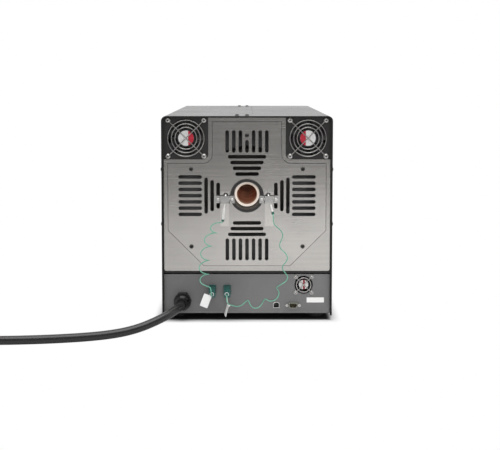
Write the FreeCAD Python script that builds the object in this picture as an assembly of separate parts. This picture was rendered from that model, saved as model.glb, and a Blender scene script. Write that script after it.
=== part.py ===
"""Benchtop tube furnace: vented steel housing round a ceramic tube, seen from its service side.

Units are millimetres. +Z is up and the bench is Z = 0. The service side, with the fans, the
probes and the connectors, faces -Y. Depths called d are measured inwards from the housing's rim.
"""
import FreeCAD, Part
import math
import os

V = FreeCAD.Vector

# Housing
BODY_W = 340.0
BODY_D = 600.0
BODY_H = 410.0
CENTRE_SHIFT = 12.0
SKIRT_Z = 9.5
COVER_T = 1.5
COVER_R = 10.0
RIM_SIDE = 4.0
RIM_TOP = 3.0
SEAM_X = 11.5
SEAM_GAP = 0.5
LAP_W = 42.0
FIT = 0.3
SHEET_T = 1.5
FLANGE_L = 16.0
TOP_FLANGE_L = 36.0
TOP_FLANGE_HALF = 60.0
PAN_Z = 12.0
PAN_WALL_H = 33.0
PAN_LIP_H = 8.0
SHELF_Z = 96.0
SHELF_T = 1.2
SHELF_FLANGE_H = 14.0
FOOT_R = 15.0
FOOT_TAPER = 2.0
FOOT_HOLLOW = 2.0
FOOT_X = BODY_W / 2 - 30.0
FOOT_D = 40.0

# Panels of the two ends, by depth behind the rim
CHASSIS_D = 6.0
STEEL_T = 1.5
VENT_T = 1.2
CONNECTOR_D = 8.0
CHASSIS_BOTTOM = 95.0
STEEL_BOTTOM = 99.4
STEEL_SIDE_GAP = 0.5
CONNECTOR_BOTTOM = 15.4
CONNECTOR_TOP = 92.0
NOTCH_X = BODY_W / 2 - 93.2
NOTCH_Z = BODY_H - 86.2
NOTCH_R = 11.0
VENT_MARGIN = 8.5
VENT_FOOT_MARGIN = 11.0
VENT_CHAMFER = 71.0
OPENING_MARGIN = 4.0

# Tube and hot zone
TUBE_Z = 0.61293 * BODY_H
TUBE_BORE_R = 20.0
TUBE_R = 25.0
TUBE_RECESS = 26.0
COLLAR_R = 33.4
COLLAR_BORE_R = 27.5
COLLAR_WALL = 2.0
COLLAR_T = 2.3
COLLAR_L = 43.0
DRUM_D = 46.0
DRUM_R = 89.5
DRUM_T = 1.2
VESTIBULE_T = 27.0
HEATER_T = 19.0
TUBE_GAP = 1.0
CRADLE_D = 130.0
CRADLE_W = 140.0
CRADLE_T = 2.0
CRADLE_FOOT = 24.0
CRADLE_GAP = 6.0

# Vent slots, by distance from the tube axis, as shares of the housing
SLOT_W = 7.2
LONG_SLOTS = 7
LONG_SLOT_L = 0.1083 * BODY_H
LONG_SLOT_OFF = 0.2639 * BODY_H
LONG_PITCH_X = 0.03853 * BODY_W
SIDE_SLOT_L = 0.13765 * BODY_W
SIDE_SLOT_OFF = 0.33265 * BODY_W
SIDE_PITCH_Z = 0.03049 * BODY_H
SHORT_OFF_Z = 0.10561 * BODY_H
SHORT_PITCH_Z = 0.02805 * BODY_H
SHORT_HALF_X = 0.06853 * BODY_W
SHORT_STEP_X = 0.01441 * BODY_W
SHORT_OFF_X = 0.16882 * BODY_W
SHORT_PITCH_X = 0.03529 * BODY_W
SHORT_HALF_Z = 0.06366 * BODY_H
SHORT_STEP_Z = 0.0122 * BODY_H
MID_SLOT_CUT = 0.04732 * BODY_H

# Screws
VENT_SCREW_X = 0.32647 * BODY_W
VENT_SCREW_HIGH = 0.74244 * BODY_H
VENT_SCREW_LOW = 0.36341 * BODY_H
VENT_SCREW_TOP = BODY_H - 38.4
M4_R = 2.0
M4_HEAD_R = 4.3
M4_HEAD_H = 2.4
M3_R = 1.5
M3_HEAD_R = 2.8
M3_HEAD_H = 1.8
HOLE_GAP = 0.2
SCREW_L = 9.0
SIDE_SCREW_Z = (0.739 * BODY_H, 0.4707 * BODY_H)
SIDE_SCREW_D = 14.0
TOP_SCREW_X = (-20.0, 0.0)
TOP_SCREW_D = 31.0

# Fans
FAN_X = BODY_W / 2 - 48.8
FAN_Z = BODY_H - 44.2
FAN_SIZE = 80.0
FAN_DEPTH = 25.0
FAN_PITCH = 71.5
FAN_BORE_R = 37.3
FAN_HUB_R = 17.5
FAN_RINGS = (36.0, 28.7, 21.7)
FAN_WIRE_R = 1.0
FAN_EYE_R = 4.2
SMALL_FAN_X = BODY_W / 2 - 56.2
SMALL_FAN_Z = 70.2
SMALL_FAN_SIZE = 40.0
SMALL_FAN_DEPTH = 20.0
SMALL_FAN_PITCH = 32.0
SMALL_FAN_BORE_R = 18.4
SMALL_FAN_HUB_R = 10.0
SMALL_FAN_RINGS = (14.5,)
SMALL_FAN_WIRE_R = 0.8
SMALL_FAN_EYE_R = 3.4
FAN_FLANGE_T = 4.0
FAN_CORNER_R = 4.0
FAN_BARREL_INSET = 0.1
FAN_STRUT_W = 4.0
FAN_STRUT_T = 3.0
FAN_SHAFT_R = 1.5
FAN_SHAFT_GAP = 0.05
FAN_TIP_GAP = 0.7
FAN_BLADES = 7
BLADE_T = 1.4
BLADE_ROOT_DEG = 42.0
BLADE_TIP_DEG = 28.0
BLADE_SWEEP_DEG = 14.0

# Probes and their clamps
PROBE_X = 42.3
PROBE_Z = TUBE_Z + 1.7
PROBE_R = 2.0
PROBE_BEND = 6.0
PROBE_HOLE_R = 4.5
PROBE_INNER_D = 68.0
SLEEVE_R = 3.0
SLEEVE_L = 23.0
SLEEVE_START = 7.0
BOOT_R = 2.4
BOOT_L = 4.0
PROBE_DROP = 19.0
LEFT_LEAN = (-0.116, 0.2)
RIGHT_LEAN = (0.26, 2.2)
STRAP_W = 15.0
STRAP_Z = TUBE_Z - 7.3
STRAP_T = 1.2
STRAP_INNER_X = 24.6
STRAP_OUTER_X = 64.6
ARCH_INNER_X = 36.2
ARCH_OUTER_X = 51.6
INNER_SCREW_X = 29.4
PLATE_INNER_X = 35.4
PLATE_W = 17.2
PLATE_T = 1.0
PLATE_BOTTOM = TUBE_Z - 61.3
PLATE_TOP = TUBE_Z + 8.7

# Connectors on the lower panel
SOCKET_X = (-69.3, -39.7)
SOCKET_Z = 60.0
SOCKET_W = 15.0
SOCKET_H = 19.5
SOCKET_PROUD = 4.0
SOCKET_BODY_W = 11.0
SOCKET_BODY_H = 15.0
SOCKET_BODY_L = 14.0
PLUG_W = 14.0
PLUG_H = 18.0
PLUG_L = 27.0
PLUG_BOOT_R = 2.6
PLUG_BOOT_L = 12.0
USB_X = 59.0
USB_Z = 29.0
USB_W = 12.4
USB_H = 11.2
USB_WALL = 0.7
SERIAL_X = 92.8
SERIAL_Z = 29.0
SERIAL_W = 18.4
SERIAL_H = 10.6
SERIAL_POST_X = 12.5
SERIAL_POST_R = 2.9
SERIAL_FLANGE_W = 31.0
SERIAL_FLANGE_H = 12.6
SERIAL_T = 1.0
SERIAL_PROUD = 5.5
PIN_R = 0.5
PIN_PITCH = 2.77
PIN_ROW = 2.84
GLAND_X = 41.0 - BODY_W / 2
GLAND_Z = 39.0
GLAND_R = 18.0
GLAND_BASE_T = 6.0
GLAND_NECK_R = 12.4
GLAND_NUT_L = 24.0
GLAND_NOSE_R = 11.4

# Controls on the hidden front
KEYS = (("key_down", 32.0), ("key_up", 54.0), ("key_set", 82.0))
KEY_Z = 46.0
KEY_W = 12.0
KEY_PROUD = 2.4
KEY_TRAVEL = 1.5
KEY_FLANGE = 1.4
DISPLAY_X = -48.0
DISPLAY_Z = 54.0
DISPLAY_W = 96.0
DISPLAY_H = 42.0
DISPLAY_BORDER = 6.0
LENS_T = 2.0
ROCKER_X = BODY_W / 2 - 38.0
ROCKER_Z = 50.0
ROCKER_W = 15.4
ROCKER_L = 22.0
ROCKER_PIVOT_D = 10.5
ROCKER_TILT = 8.0
ROCKER_PIN_R = 1.5
ROCKER_PIN_GAP = 0.05
SWITCH_WALL = 1.6
SWITCH_BORDER = 2.6
SWITCH_DEPTH = 18.0

# Electronics bay
BOARD_W = 170.0
BOARD_L = 120.0
BOARD_T = 1.6
BOARD_Z = 30.0
BOARD_X = 30.0
BOARD_D = 60.0
POST_R = 3.0
SUPPLY_W = 110.0
SUPPLY_L = 200.0
SUPPLY_H = 50.0
CASE_T = 1.2
RELAY_L = 60.0
RELAY_W = 45.0
RELAY_H = 24.0
SUPPLY_X = -95.0
SUPPLY_D = 150.0

# Leads, as route points of X, d and Z
LEAD_R = 1.0
LEAD_GAP = 0.2
LEFT_CURLS = 4.75
LEFT_CURL_R = 9.5
LEFT_CURL_DEPTH = 8.0
LEFT_CURL_LIFT = 3.0
LEFT_AXIS = ((-54.5, -9.0, 199.5), (-82.0, -12.0, 173.3), (-90.5, -18.0, 113.6), (-82.0, -30.0, 83.0))
LEFT_TAIL = (
    (-74.8, -44.5, 79.2), (-70.8, -49.6, 78.4), (-69.5, -51.2, 71.5), (-69.3, -48.0, 64.4),
    (-69.3, -42.0, 60.4),
)
RIGHT_ROUTE = (
    (51.2, -35.6, 216.5), (51.0, -36.8, 210.3), (51.6, -36.2, 203.0), (57.5, -34.5, 195.3),
    (65.5, -30.5, 188.7), (70.6, -25.5, 179.5), (69.0, -20.0, 168.3), (64.5, -15.0, 158.6),
    (65.0, -11.0, 149.3), (71.0, -9.5, 142.9), (77.7, -12.0, 137.0), (80.9, -16.0, 129.9),
    (77.2, -17.5, 121.9), (70.8, -14.0, 114.6), (69.8, -10.0, 106.2), (75.2, -9.5, 99.3),
    (82.0, -13.0, 91.0), (77.0, -17.0, 82.5), (66.4, -20.0, 77.0), (56.8, -14.0, 69.8),
    (64.6, -9.5, 60.5), (61.5, -13.5, 49.5), (53.0, -19.0, 44.6), (43.5, -22.0, 44.0),
    (35.6, -16.0, 49.0), (31.2, -9.5, 38.5), (25.0, -13.0, 29.8), (14.5, -19.0, 28.6),
    (6.8, -23.0, 36.0), (2.4, -17.0, 46.6), (-5.5, -11.5, 38.0), (-12.5, -17.0, 33.6),
    (-20.0, -25.0, 34.4), (-27.6, -32.0, 38.4), (-33.6, -39.0, 42.0), (-38.5, -43.0, 46.0),
    (-39.4, -47.1, 53.0), (-39.7, -43.0, 60.0),
)

# Tags tied to the plugs: X and Z of the knot, tilt in the plane, turn about the upright
TAG_W = 16.0
TAG_L = 26.0
TAG_T = 0.5
TAG_EDGE = 3.0
TAG_HOLE_R = 1.0
TIE_R = 0.5
KNOT_R = 1.5
TAG_PLACES = ((-73.0, 54.5, 21.0, 0.0), (-37.4, 38.0, 15.0, -78.0))

# Mains lead: free route, then a put-away coil of two layers
CORD_R = 8.25
CORD_ROUTE = (
    (-129.0, -2.0, 39.0), (-129.0, -25.0, 39.0), (-132.2, -46.5, 38.3), (-141.6, -67.0, 36.0),
    (-157.0, -84.5, 31.0), (-177.0, -98.0, 24.4), (-201.0, -109.5, 17.2), (-228.0, -120.5, 12.6),
    (-257.0, -131.0, 10.6), (-291.0, -141.0, 9.9), (-331.0, -150.0, 9.9), (-376.0, -157.0, 9.9),
    (-425.0, -161.5, 9.9), (-478.0, -163.0, 9.9), (-530.0, -163.0, 9.9),
)
COIL_X = -590.0
COIL_OUTER_R = 101.0
COIL_STEP = 20.0
COIL_LAYER = 17.2
COIL_TURNS_IN = 1.0
COIL_TURNS_CLIMB = 0.5
COIL_TURNS_OUT = 0.75
COIL_TAIL = 46.0
COIL_DROP_L = 52.0
COIL_END_L = 17.0
TIE_TURN = 0.12
TIE_W = 12.0
TIE_T = 1.2
TIE_GAP = 0.4
MAINS_PLUG_R = 22.0
MAINS_PLUG_L = 58.0
BLADE_L = 20.0

# Values that follow from the ones above
REAR_Y = CENTRE_SHIFT - BODY_D / 2
FRONT_Y = REAR_Y + BODY_D
HALF_W = BODY_W / 2
INNER_HALF = HALF_W - COVER_T
TONGUE_Z = BODY_H - COVER_T - 0.1 - COVER_T
PANEL_TOP = TONGUE_Z - FIT
CHASSIS_HALF = INNER_HALF - FIT
FLANGE_IN = CHASSIS_HALF - SHEET_T
STEEL_HALF = HALF_W - RIM_SIDE - STEEL_SIDE_GAP
STEEL_D = CHASSIS_D - STEEL_T
VENT_D = STEEL_D - VENT_T
COLLAR_D = VENT_D - COLLAR_T
CHASSIS_IN = CHASSIS_D + SHEET_T
CONNECTOR_IN = CONNECTOR_D + SHEET_T
SLEEVE_OUT_R = COLLAR_BORE_R + COLLAR_WALL
PAN_HALF = FLANGE_IN
PAN_TOP = PAN_Z + SHEET_T
PROBE_D = VENT_D - PLATE_T - FIT - PROBE_R
VENT_SCREWS = ((-VENT_SCREW_X, VENT_SCREW_HIGH), (VENT_SCREW_X, VENT_SCREW_HIGH),
               (-VENT_SCREW_X, VENT_SCREW_LOW), (VENT_SCREW_X, VENT_SCREW_LOW), (0.0, VENT_SCREW_TOP))


def at(x, d, z):
    """Point at depth d behind the rear rim."""
    return V(x, REAR_Y + d, z)


def front(shape):
    """Copy of a rear shape, mirrored to the front end."""
    return shape.mirror(V(0, (REAR_Y + FRONT_Y) / 2, 0), V(0, 1, 0))


def block(x0, x1, d0, d1, z0, z1):
    return Part.makeBox(x1 - x0, d1 - d0, z1 - z0, at(x0, d0, z0))


def rod(x, z, radius, d0, d1):
    """Cylinder along the depth."""
    return Part.makeCylinder(radius, d1 - d0, at(x, d0, z), V(0, 1, 0))


def tube(x, z, outer, inner, d0, d1):
    return rod(x, z, outer, d0, d1).cut(rod(x, z, inner, d0 - 1, d1 + 1))


def join(shapes):
    return shapes[0].multiFuse(shapes[1:]).removeSplitter()


def corner_arc(before, point, after, radius):
    """Start, middle and end of the arc that rounds one corner."""
    to_before = (before - point).normalize()
    to_after = (after - point).normalize()
    half = math.acos(max(-1.0, min(1.0, to_before.dot(to_after)))) / 2
    reach = radius / math.tan(half)
    inwards = (to_before + to_after).normalize()
    centre = point + inwards * (radius / math.sin(half))
    return point + to_before * reach, centre - inwards * radius, point + to_after * reach


def rounded_wire(points, radii, closed=True):
    """Straight runs joined by tangent arcs, with one radius for each point."""
    count = len(points)
    edges = []
    ends = []
    for i, (point, radius) in enumerate(zip(points, radii)):
        if radius <= 0 or (not closed and i in (0, count - 1)):
            ends.append((point, None, point))
        else:
            ends.append(corner_arc(points[i - 1], point, points[(i + 1) % count], radius))
    last = count if closed else count - 1
    for i in range(count):
        start, middle, stop = ends[i]
        if middle is not None:
            edges.append(Part.Arc(start, middle, stop).toShape())
        if i < last:
            target = ends[(i + 1) % count][0]
            if (target - stop).Length > 1e-6:
                edges.append(Part.LineSegment(stop, target).toShape())
    return Part.Wire(edges)


def outline(corners, d):
    """Closed wire in a plane of constant depth, from corners of x, z and radius."""
    return rounded_wire([at(x, d, z) for x, z, radius in corners], [c[2] for c in corners])


def rectangle(x0, x1, z0, z1, radius, d):
    return outline(((x0, z0, radius), (x1, z0, radius), (x1, z1, radius), (x0, z1, radius)), d)


def circle(x, z, radius, d):
    return Part.Wire(Part.makeCircle(radius, at(x, d, z), V(0, 1, 0)))


def slot(x, z, half, upright, d):
    """Round-ended slot of the common width."""
    r = SLOT_W / 2
    run = half - r
    along = V(0, 0, run) if upright else V(run, 0, 0)
    across = V(r, 0, 0) if upright else V(0, 0, r)
    tip = along.normalize() * r
    along = V(0, 0, run) if upright else V(run, 0, 0)
    c = at(x, d, z)
    return Part.Wire([
        Part.LineSegment(c - along + across, c + along + across).toShape(),
        Part.Arc(c + along + across, c + along + tip, c + along - across).toShape(),
        Part.LineSegment(c + along - across, c - along - across).toShape(),
        Part.Arc(c - along - across, c - along - tip, c - along + across).toShape(),
    ])


def sheet(wires, thickness):
    """Flat sheet with holes, grown inwards from the wires' plane."""
    face = Part.makeFace(wires, "Part::FaceMakerBullseye")
    return face.extrude(V(0, thickness, 0))


def revolve_along(profile, origin, axis):
    """Solid of revolution from points of radius and height along an axis."""
    points = [V(r, 0, h) for r, h in profile]
    face = Part.Face(Part.makePolygon(points + [points[0]]))
    solid = face.revolve(V(0, 0, 0), V(0, 0, 1), 360)
    solid.Placement = FreeCAD.Placement(origin, FreeCAD.Rotation(V(0, 0, 1), axis))
    return solid


def screw(seat, outwards, radius, head_r, head_h, length):
    """Domed screw whose head stands on a seat and points outwards."""
    crown = head_r * 0.55
    return revolve_along(
        ((0, head_h), (crown, head_h), (head_r * 0.9, head_h * 0.62), (head_r, head_h * 0.2),
         (head_r, 0), (radius, 0), (radius, -length), (0, -length)), seat, outwards)


def pipe(wire, radius):
    """Round tube along a wire."""
    edge = wire.OrderedEdges[0]
    start = edge.valueAt(edge.FirstParameter)
    if wire.OrderedVertexes[0].Point.distanceToPoint(start) > 1e-4:
        start = edge.valueAt(edge.LastParameter)
        tangent = edge.tangentAt(edge.LastParameter) * -1
    else:
        tangent = edge.tangentAt(edge.FirstParameter)
    profile = Part.Wire(Part.makeCircle(radius, start, tangent))
    return wire.makePipeShell([profile], True, False)


def cord_radii(points):
    """Largest arc that each corner's runs allow."""
    radii = [0.0]
    for before, point, after in zip(points, points[1:], points[2:]):
        shorter = min((point - before).Length, (after - point).Length)
        turn = (point - before).getAngle(after - point)
        radii.append(0.45 * shorter / math.tan(turn / 2))
    return radii + [0.0]


def report_tube(name, solid, wire, radius):
    expected = math.pi * radius ** 2 * wire.Length
    print(name, "length %.0f mm, volume ratio %.4f" % (wire.Length, solid.Volume / expected))


def free_cord(name, points, radius):
    """Tube along a hand-chosen route."""
    radii = cord_radii(points)
    print(name, "tightest arc %.1f mm" % min(radii[1:-1]))
    wire = rounded_wire(points, radii, closed=False)
    solid = pipe(wire, radius)
    report_tube(name, solid, wire, radius)
    return solid


def arc_from(start, tangent, stop):
    """Arc that leaves start along a tangent and ends at stop."""
    chord = stop - start
    sideways = chord - tangent * chord.dot(tangent)
    if sideways.Length < 1e-5 * chord.Length:
        return Part.LineSegment(start, stop).toShape()
    sideways.normalize()
    radius = chord.dot(chord) / (2 * chord.dot(sideways))
    centre = start + sideways * radius
    out = (start + stop) * 0.5 - centre
    out.normalize()
    return Part.Arc(start, centre + out * radius, stop).toShape()


def biarc(start, leave, stop, arrive):
    """Two tangent arcs between two points with given directions."""
    chord = stop - start
    total = leave + arrive
    spread = 2 * (1 - leave.dot(arrive))
    along = chord.dot(total)
    if spread < 1e-9:
        reach = chord.dot(chord) / (4 * chord.dot(arrive))
    else:
        reach = (math.sqrt(along ** 2 + spread * chord.dot(chord)) - along) / spread
    middle = (start + stop + (leave - arrive) * reach) * 0.5
    between = ((middle - start) - leave * reach).normalize()
    return [arc_from(start, leave, middle), arc_from(middle, between, stop)]


def wound_wire(points, first, last):
    """Smooth path of biarcs through points, with fixed directions at both ends."""
    tangents = [first]
    for before, here, after in zip(points, points[1:], points[2:]):
        come = here - before
        go = after - here
        weight = go.Length / come.Length
        tangents.append((come * weight + go * (1 / weight)).normalize())
    tangents.append(last)
    edges = []
    for i in range(len(points) - 1):
        edges += biarc(points[i], tangents[i], points[i + 1], tangents[i + 1])
    return Part.Wire(edges)


def report_gap(name, wire, radius, skip):
    """Least gap of a wound tube to itself, on points along its path."""
    step = radius / 2
    points = wire.discretize(Distance=step)
    apart = int(skip / step)
    least = min((points[i] - points[j]).Length
                for i in range(0, len(points), 2) for j in range(i + apart, len(points), 2))
    print(name, "least gap to itself %.2f mm" % (least - 2 * radius))


# Housing


def cover_profile(x_end, inner_side, inner_top, inner_r):
    """Section of one cover: a side and its share of the top, for the left half."""
    return rounded_wire(
        [V(-HALF_W, 0, SKIRT_Z), V(-HALF_W, 0, BODY_H), V(x_end, 0, BODY_H),
         V(x_end, 0, inner_top), V(inner_side, 0, inner_top), V(inner_side, 0, SKIRT_Z)],
        [0, COVER_R, 0, 0, inner_r, 0])


def half_cover(x_end):
    """Folded side and top with narrow returns at both ends."""
    wall = cover_profile(x_end, -INNER_HALF, BODY_H - COVER_T, COVER_R - COVER_T)
    rim = cover_profile(x_end, RIM_SIDE - HALF_W, BODY_H - RIM_TOP, COVER_R - RIM_SIDE)
    body = Part.Face(wall).extrude(V(0, BODY_D, 0))
    end = Part.Face(rim).extrude(V(0, COVER_T, 0))
    far = end.translated(V(0, BODY_D - COVER_T, 0))
    return join([body, end, far]).translated(V(0, REAR_Y, 0))


def cover_holes(side):
    """Holes for the screws in one side of the housing."""
    holes = []
    for z in SIDE_SCREW_Z:
        hole = Part.makeCylinder(M4_R + HOLE_GAP, 12, at(side * (HALF_W - 6), SIDE_SCREW_D, z), V(side, 0, 0))
        holes += [hole, front(hole)]
    return holes


def top_holes():
    holes = []
    for x in TOP_SCREW_X:
        hole = Part.makeCylinder(M4_R + HOLE_GAP, 20, at(x, TOP_SCREW_D, BODY_H - 15), V(0, 0, 1))
        holes += [hole, front(hole)]
    return holes


def left_cover():
    return half_cover(SEAM_X).cut(Part.makeCompound(cover_holes(-1) + top_holes()))


def right_cover():
    """The other half, with a joggled tongue that lies under the first one's edge."""
    plain = half_cover(-SEAM_X - SEAM_GAP).mirror(V(0, 0, 0), V(1, 0, 0))
    start = SEAM_X + SEAM_GAP
    tip = start - LAP_W
    step = start + 2 * COVER_T
    lower = TONGUE_Z
    upper = TONGUE_Z + COVER_T
    section = [(step + COVER_T, BODY_H - COVER_T), (step, lower), (tip, lower), (tip, upper),
               (start - SEAM_GAP, upper), (start, BODY_H - COVER_T), (start, BODY_H), (step + COVER_T, BODY_H)]
    points = [at(x, COVER_T + FIT, z) for x, z in section]
    tongue = Part.Face(Part.makePolygon(points + [points[0]]))
    tongue = tongue.extrude(V(0, BODY_D - 2 * (COVER_T + FIT), 0))
    return join([plain, tongue]).cut(Part.makeCompound(cover_holes(1) + top_holes()))


def cover_screws():
    screws = []
    for side in (-1, 1):
        for z in SIDE_SCREW_Z:
            place = at(side * HALF_W, SIDE_SCREW_D, z)
            screws.append(screw(place, V(side, 0, 0), M4_R, M4_HEAD_R, M4_HEAD_H, SCREW_L))
    for x in TOP_SCREW_X:
        screws.append(screw(at(x, TOP_SCREW_D, BODY_H), V(0, 0, 1), M4_R, M4_HEAD_R, M4_HEAD_H, SCREW_L))
    return Part.makeCompound(screws + [front(s) for s in screws])


def vent_opening(tab, d):
    """Cross-shaped opening behind the vents, with a tab for the top screw."""
    m = OPENING_MARGIN + SLOT_W / 2
    upright = (LONG_SLOTS - 1) / 2 * LONG_PITCH_X + m
    reach_z = LONG_SLOT_OFF + LONG_SLOT_L / 2 + OPENING_MARGIN
    level = 3 * SIDE_PITCH_Z + m
    reach_x = SIDE_SLOT_OFF + SIDE_SLOT_L / 2 + OPENING_MARGIN
    top = TUBE_Z + reach_z
    half_tab = LONG_PITCH_X - SLOT_W / 2 - 2.0
    tab_z = VENT_SCREW_TOP - half_tab
    corners = [(-upright, top, 3)]
    if tab:
        corners += [(-half_tab, top, 2), (-half_tab, tab_z, 3), (half_tab, tab_z, 3), (half_tab, top, 2)]
    corners += [(upright, top, 3), (upright, TUBE_Z + level, 3), (reach_x, TUBE_Z + level, 3),
                (reach_x, TUBE_Z - level, 3), (upright, TUBE_Z - level, 3), (upright, TUBE_Z - reach_z, 3),
                (-upright, TUBE_Z - reach_z, 3), (-upright, TUBE_Z - level, 3), (-reach_x, TUBE_Z - level, 3),
                (-reach_x, TUBE_Z + level, 3), (-upright, TUBE_Z + level, 3)]
    return outline(corners, d)


def vent_slots(full, d):
    """Slot pattern round the tube; the service side leaves room for a screw and the clamps."""
    wires = []
    for k in range(LONG_SLOTS):
        x = (k - (LONG_SLOTS - 1) / 2) * LONG_PITCH_X
        half = LONG_SLOT_L / 2
        cut = 0.0 if full or x != 0 else MID_SLOT_CUT
        wires.append(slot(x, TUBE_Z + LONG_SLOT_OFF - cut / 2, half - cut / 2, True, d))
        wires.append(slot(x, TUBE_Z - LONG_SLOT_OFF, half, True, d))
        z = TUBE_Z + (k - (LONG_SLOTS - 1) / 2) * SIDE_PITCH_Z
        for side in (-1, 1):
            wires.append(slot(side * SIDE_SLOT_OFF, z, SIDE_SLOT_L / 2, False, d))
    for k in range(4):
        off = SHORT_OFF_Z + k * SHORT_PITCH_Z
        half = SHORT_HALF_X + k * SHORT_STEP_X
        wires.append(slot(0, TUBE_Z + off, half, False, d))
        if full or k > 0:
            wires.append(slot(0, TUBE_Z - off, half, False, d))
    for k in range(3):
        for side in (-1, 1):
            wires.append(slot(side * (SHORT_OFF_X + k * SHORT_PITCH_X), TUBE_Z,
                              SHORT_HALF_Z + k * SHORT_STEP_Z, True, d))
    return wires


def screw_holes(d):
    return [circle(x, z, M4_R + HOLE_GAP, d) for x, z in VENT_SCREWS]


def fan_holes(x, z, pitch, bore, screw_r, d):
    wires = [circle(x, z, bore, d)]
    for sx in (-1, 1):
        for sz in (-1, 1):
            wires.append(circle(x + sx * pitch / 2, z + sz * pitch / 2, screw_r + HOLE_GAP, d))
    return wires


def chassis_panel(fans):
    """Painted end frame with side and top flanges that the covers screw to."""
    d = CHASSIS_D
    top_r = COVER_R - RIM_TOP
    wires = [outline(((-CHASSIS_HALF, CHASSIS_BOTTOM, 0), (CHASSIS_HALF, CHASSIS_BOTTOM, 0),
                      (CHASSIS_HALF, PANEL_TOP, top_r), (-CHASSIS_HALF, PANEL_TOP, top_r)), d),
             vent_opening(True, d)] + screw_holes(d)
    if fans:
        for side in (-1, 1):
            wires += fan_holes(side * FAN_X, FAN_Z, FAN_PITCH, FAN_BORE_R, M4_R, d)
    shapes = [sheet(wires, SHEET_T)]
    for side in (-1, 1):
        near, far = sorted((side * FLANGE_IN, side * CHASSIS_HALF))
        shapes.append(block(near, far, d, d + FLANGE_L, CONNECTOR_BOTTOM, PANEL_TOP - COVER_R))
    shapes.append(block(-TOP_FLANGE_HALF, TOP_FLANGE_HALF, d, d + TOP_FLANGE_L, PANEL_TOP - SHEET_T, PANEL_TOP))
    return join(shapes).cut(Part.makeCompound(cover_holes(-1) + cover_holes(1) + top_holes()))


def rear_steel_panel():
    d = STEEL_D
    outer = outline(((-NOTCH_X, PANEL_TOP, 1), (NOTCH_X, PANEL_TOP, 1), (NOTCH_X, NOTCH_Z, NOTCH_R),
                     (STEEL_HALF, NOTCH_Z, 1), (STEEL_HALF, STEEL_BOTTOM, 4), (-STEEL_HALF, STEEL_BOTTOM, 4),
                     (-STEEL_HALF, NOTCH_Z, 1), (-NOTCH_X, NOTCH_Z, NOTCH_R)), d)
    return sheet([outer, vent_opening(True, d)] + screw_holes(d), STEEL_T)


def rear_vent_plate():
    """Slotted plate lapped on the steel panel, with the tube port and the probe holes."""
    d = VENT_D
    m = VENT_MARGIN
    side = STEEL_HALF - m
    foot = STEEL_BOTTOM + VENT_FOOT_MARGIN
    corners = ((-NOTCH_X + m, PANEL_TOP - m, 2), (NOTCH_X - m, PANEL_TOP - m, 2),
               (NOTCH_X - m, NOTCH_Z - m, NOTCH_R + m), (side, NOTCH_Z - m, 2),
               (side, foot + VENT_CHAMFER, 2), (side - VENT_CHAMFER, foot, 2),
               (VENT_CHAMFER - side, foot, 2), (-side, foot + VENT_CHAMFER, 2),
               (-side, NOTCH_Z - m, 2), (-NOTCH_X + m, NOTCH_Z - m, NOTCH_R + m))
    holes = vent_slots(False, d) + screw_holes(d) + [circle(0, TUBE_Z, SLEEVE_OUT_R + FIT, d)]
    holes += [circle(side * PROBE_X, PROBE_Z, PROBE_HOLE_R, d) for side in (-1, 1)]
    return sheet([outline(corners, d)] + holes, VENT_T)


def front_vent_plate():
    """Full-width slotted plate of the hidden front."""
    d = STEEL_D
    outer = rectangle(-STEEL_HALF, STEEL_HALF, STEEL_BOTTOM, PANEL_TOP, 4, d)
    holes = vent_slots(True, d) + [circle(0, TUBE_Z, SLEEVE_OUT_R + FIT, d)] + screw_holes(d)[:4]
    return front(sheet([outer] + holes, STEEL_T))


def panel_screws():
    rear = [screw(at(x, VENT_D, z), V(0, -1, 0), M4_R, M4_HEAD_R, M4_HEAD_H, SCREW_L) for x, z in VENT_SCREWS]
    ahead = [front(screw(at(x, STEEL_D, z), V(0, -1, 0), M4_R, M4_HEAD_R, M4_HEAD_H, SCREW_L))
             for x, z in VENT_SCREWS[:4]]
    return Part.makeCompound(rear + ahead)


def connector_panel():
    d = CONNECTOR_D
    half = FLANGE_IN - FIT
    wires = [rectangle(-half, half, CONNECTOR_BOTTOM, CONNECTOR_TOP, 1, d),
             circle(GLAND_X, GLAND_Z, GLAND_NECK_R + HOLE_GAP, d)]
    for x in SOCKET_X:
        w = SOCKET_BODY_W / 2 + HOLE_GAP
        h = SOCKET_BODY_H / 2 + HOLE_GAP
        wires.append(rectangle(x - w, x + w, SOCKET_Z - h, SOCKET_Z + h, 1, d))
    wires.append(usb_outline(HOLE_GAP, d))
    wires.append(serial_outline(HOLE_GAP, d))
    wires += [circle(SERIAL_X + s * SERIAL_POST_X, SERIAL_Z, M3_R + HOLE_GAP, d) for s in (-1, 1)]
    wires += fan_holes(SMALL_FAN_X, SMALL_FAN_Z, SMALL_FAN_PITCH, SMALL_FAN_BORE_R, M3_R, d)
    return sheet(wires, SHEET_T)


def base_pan():
    """Folded tray that the feet and the electronics are fixed to."""
    d0 = CONNECTOR_IN
    d1 = BODY_D - CONNECTOR_IN
    shapes = [block(-PAN_HALF, PAN_HALF, d0, d1, PAN_Z, PAN_TOP)]
    for side in (-1, 1):
        near, far = sorted((side * PAN_HALF, side * (PAN_HALF - SHEET_T)))
        shapes.append(block(near, far, d0, d1, PAN_Z, PAN_Z + PAN_WALL_H))
    lip = block(-PAN_HALF, PAN_HALF, d0, d0 + SHEET_T, PAN_Z, PAN_Z + PAN_LIP_H)
    shapes += [lip, front(lip)]
    holes = [Part.makeCylinder(M4_R + HOLE_GAP, 10, V(x, y, PAN_Z - 5), V(0, 0, 1)) for x, y in foot_places()]
    return join(shapes).cut(Part.makeCompound(holes))


def foot_places():
    return [(sx * FOOT_X, y) for sx in (-1, 1) for y in (REAR_Y + FOOT_D, FRONT_Y - FOOT_D)]


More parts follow.
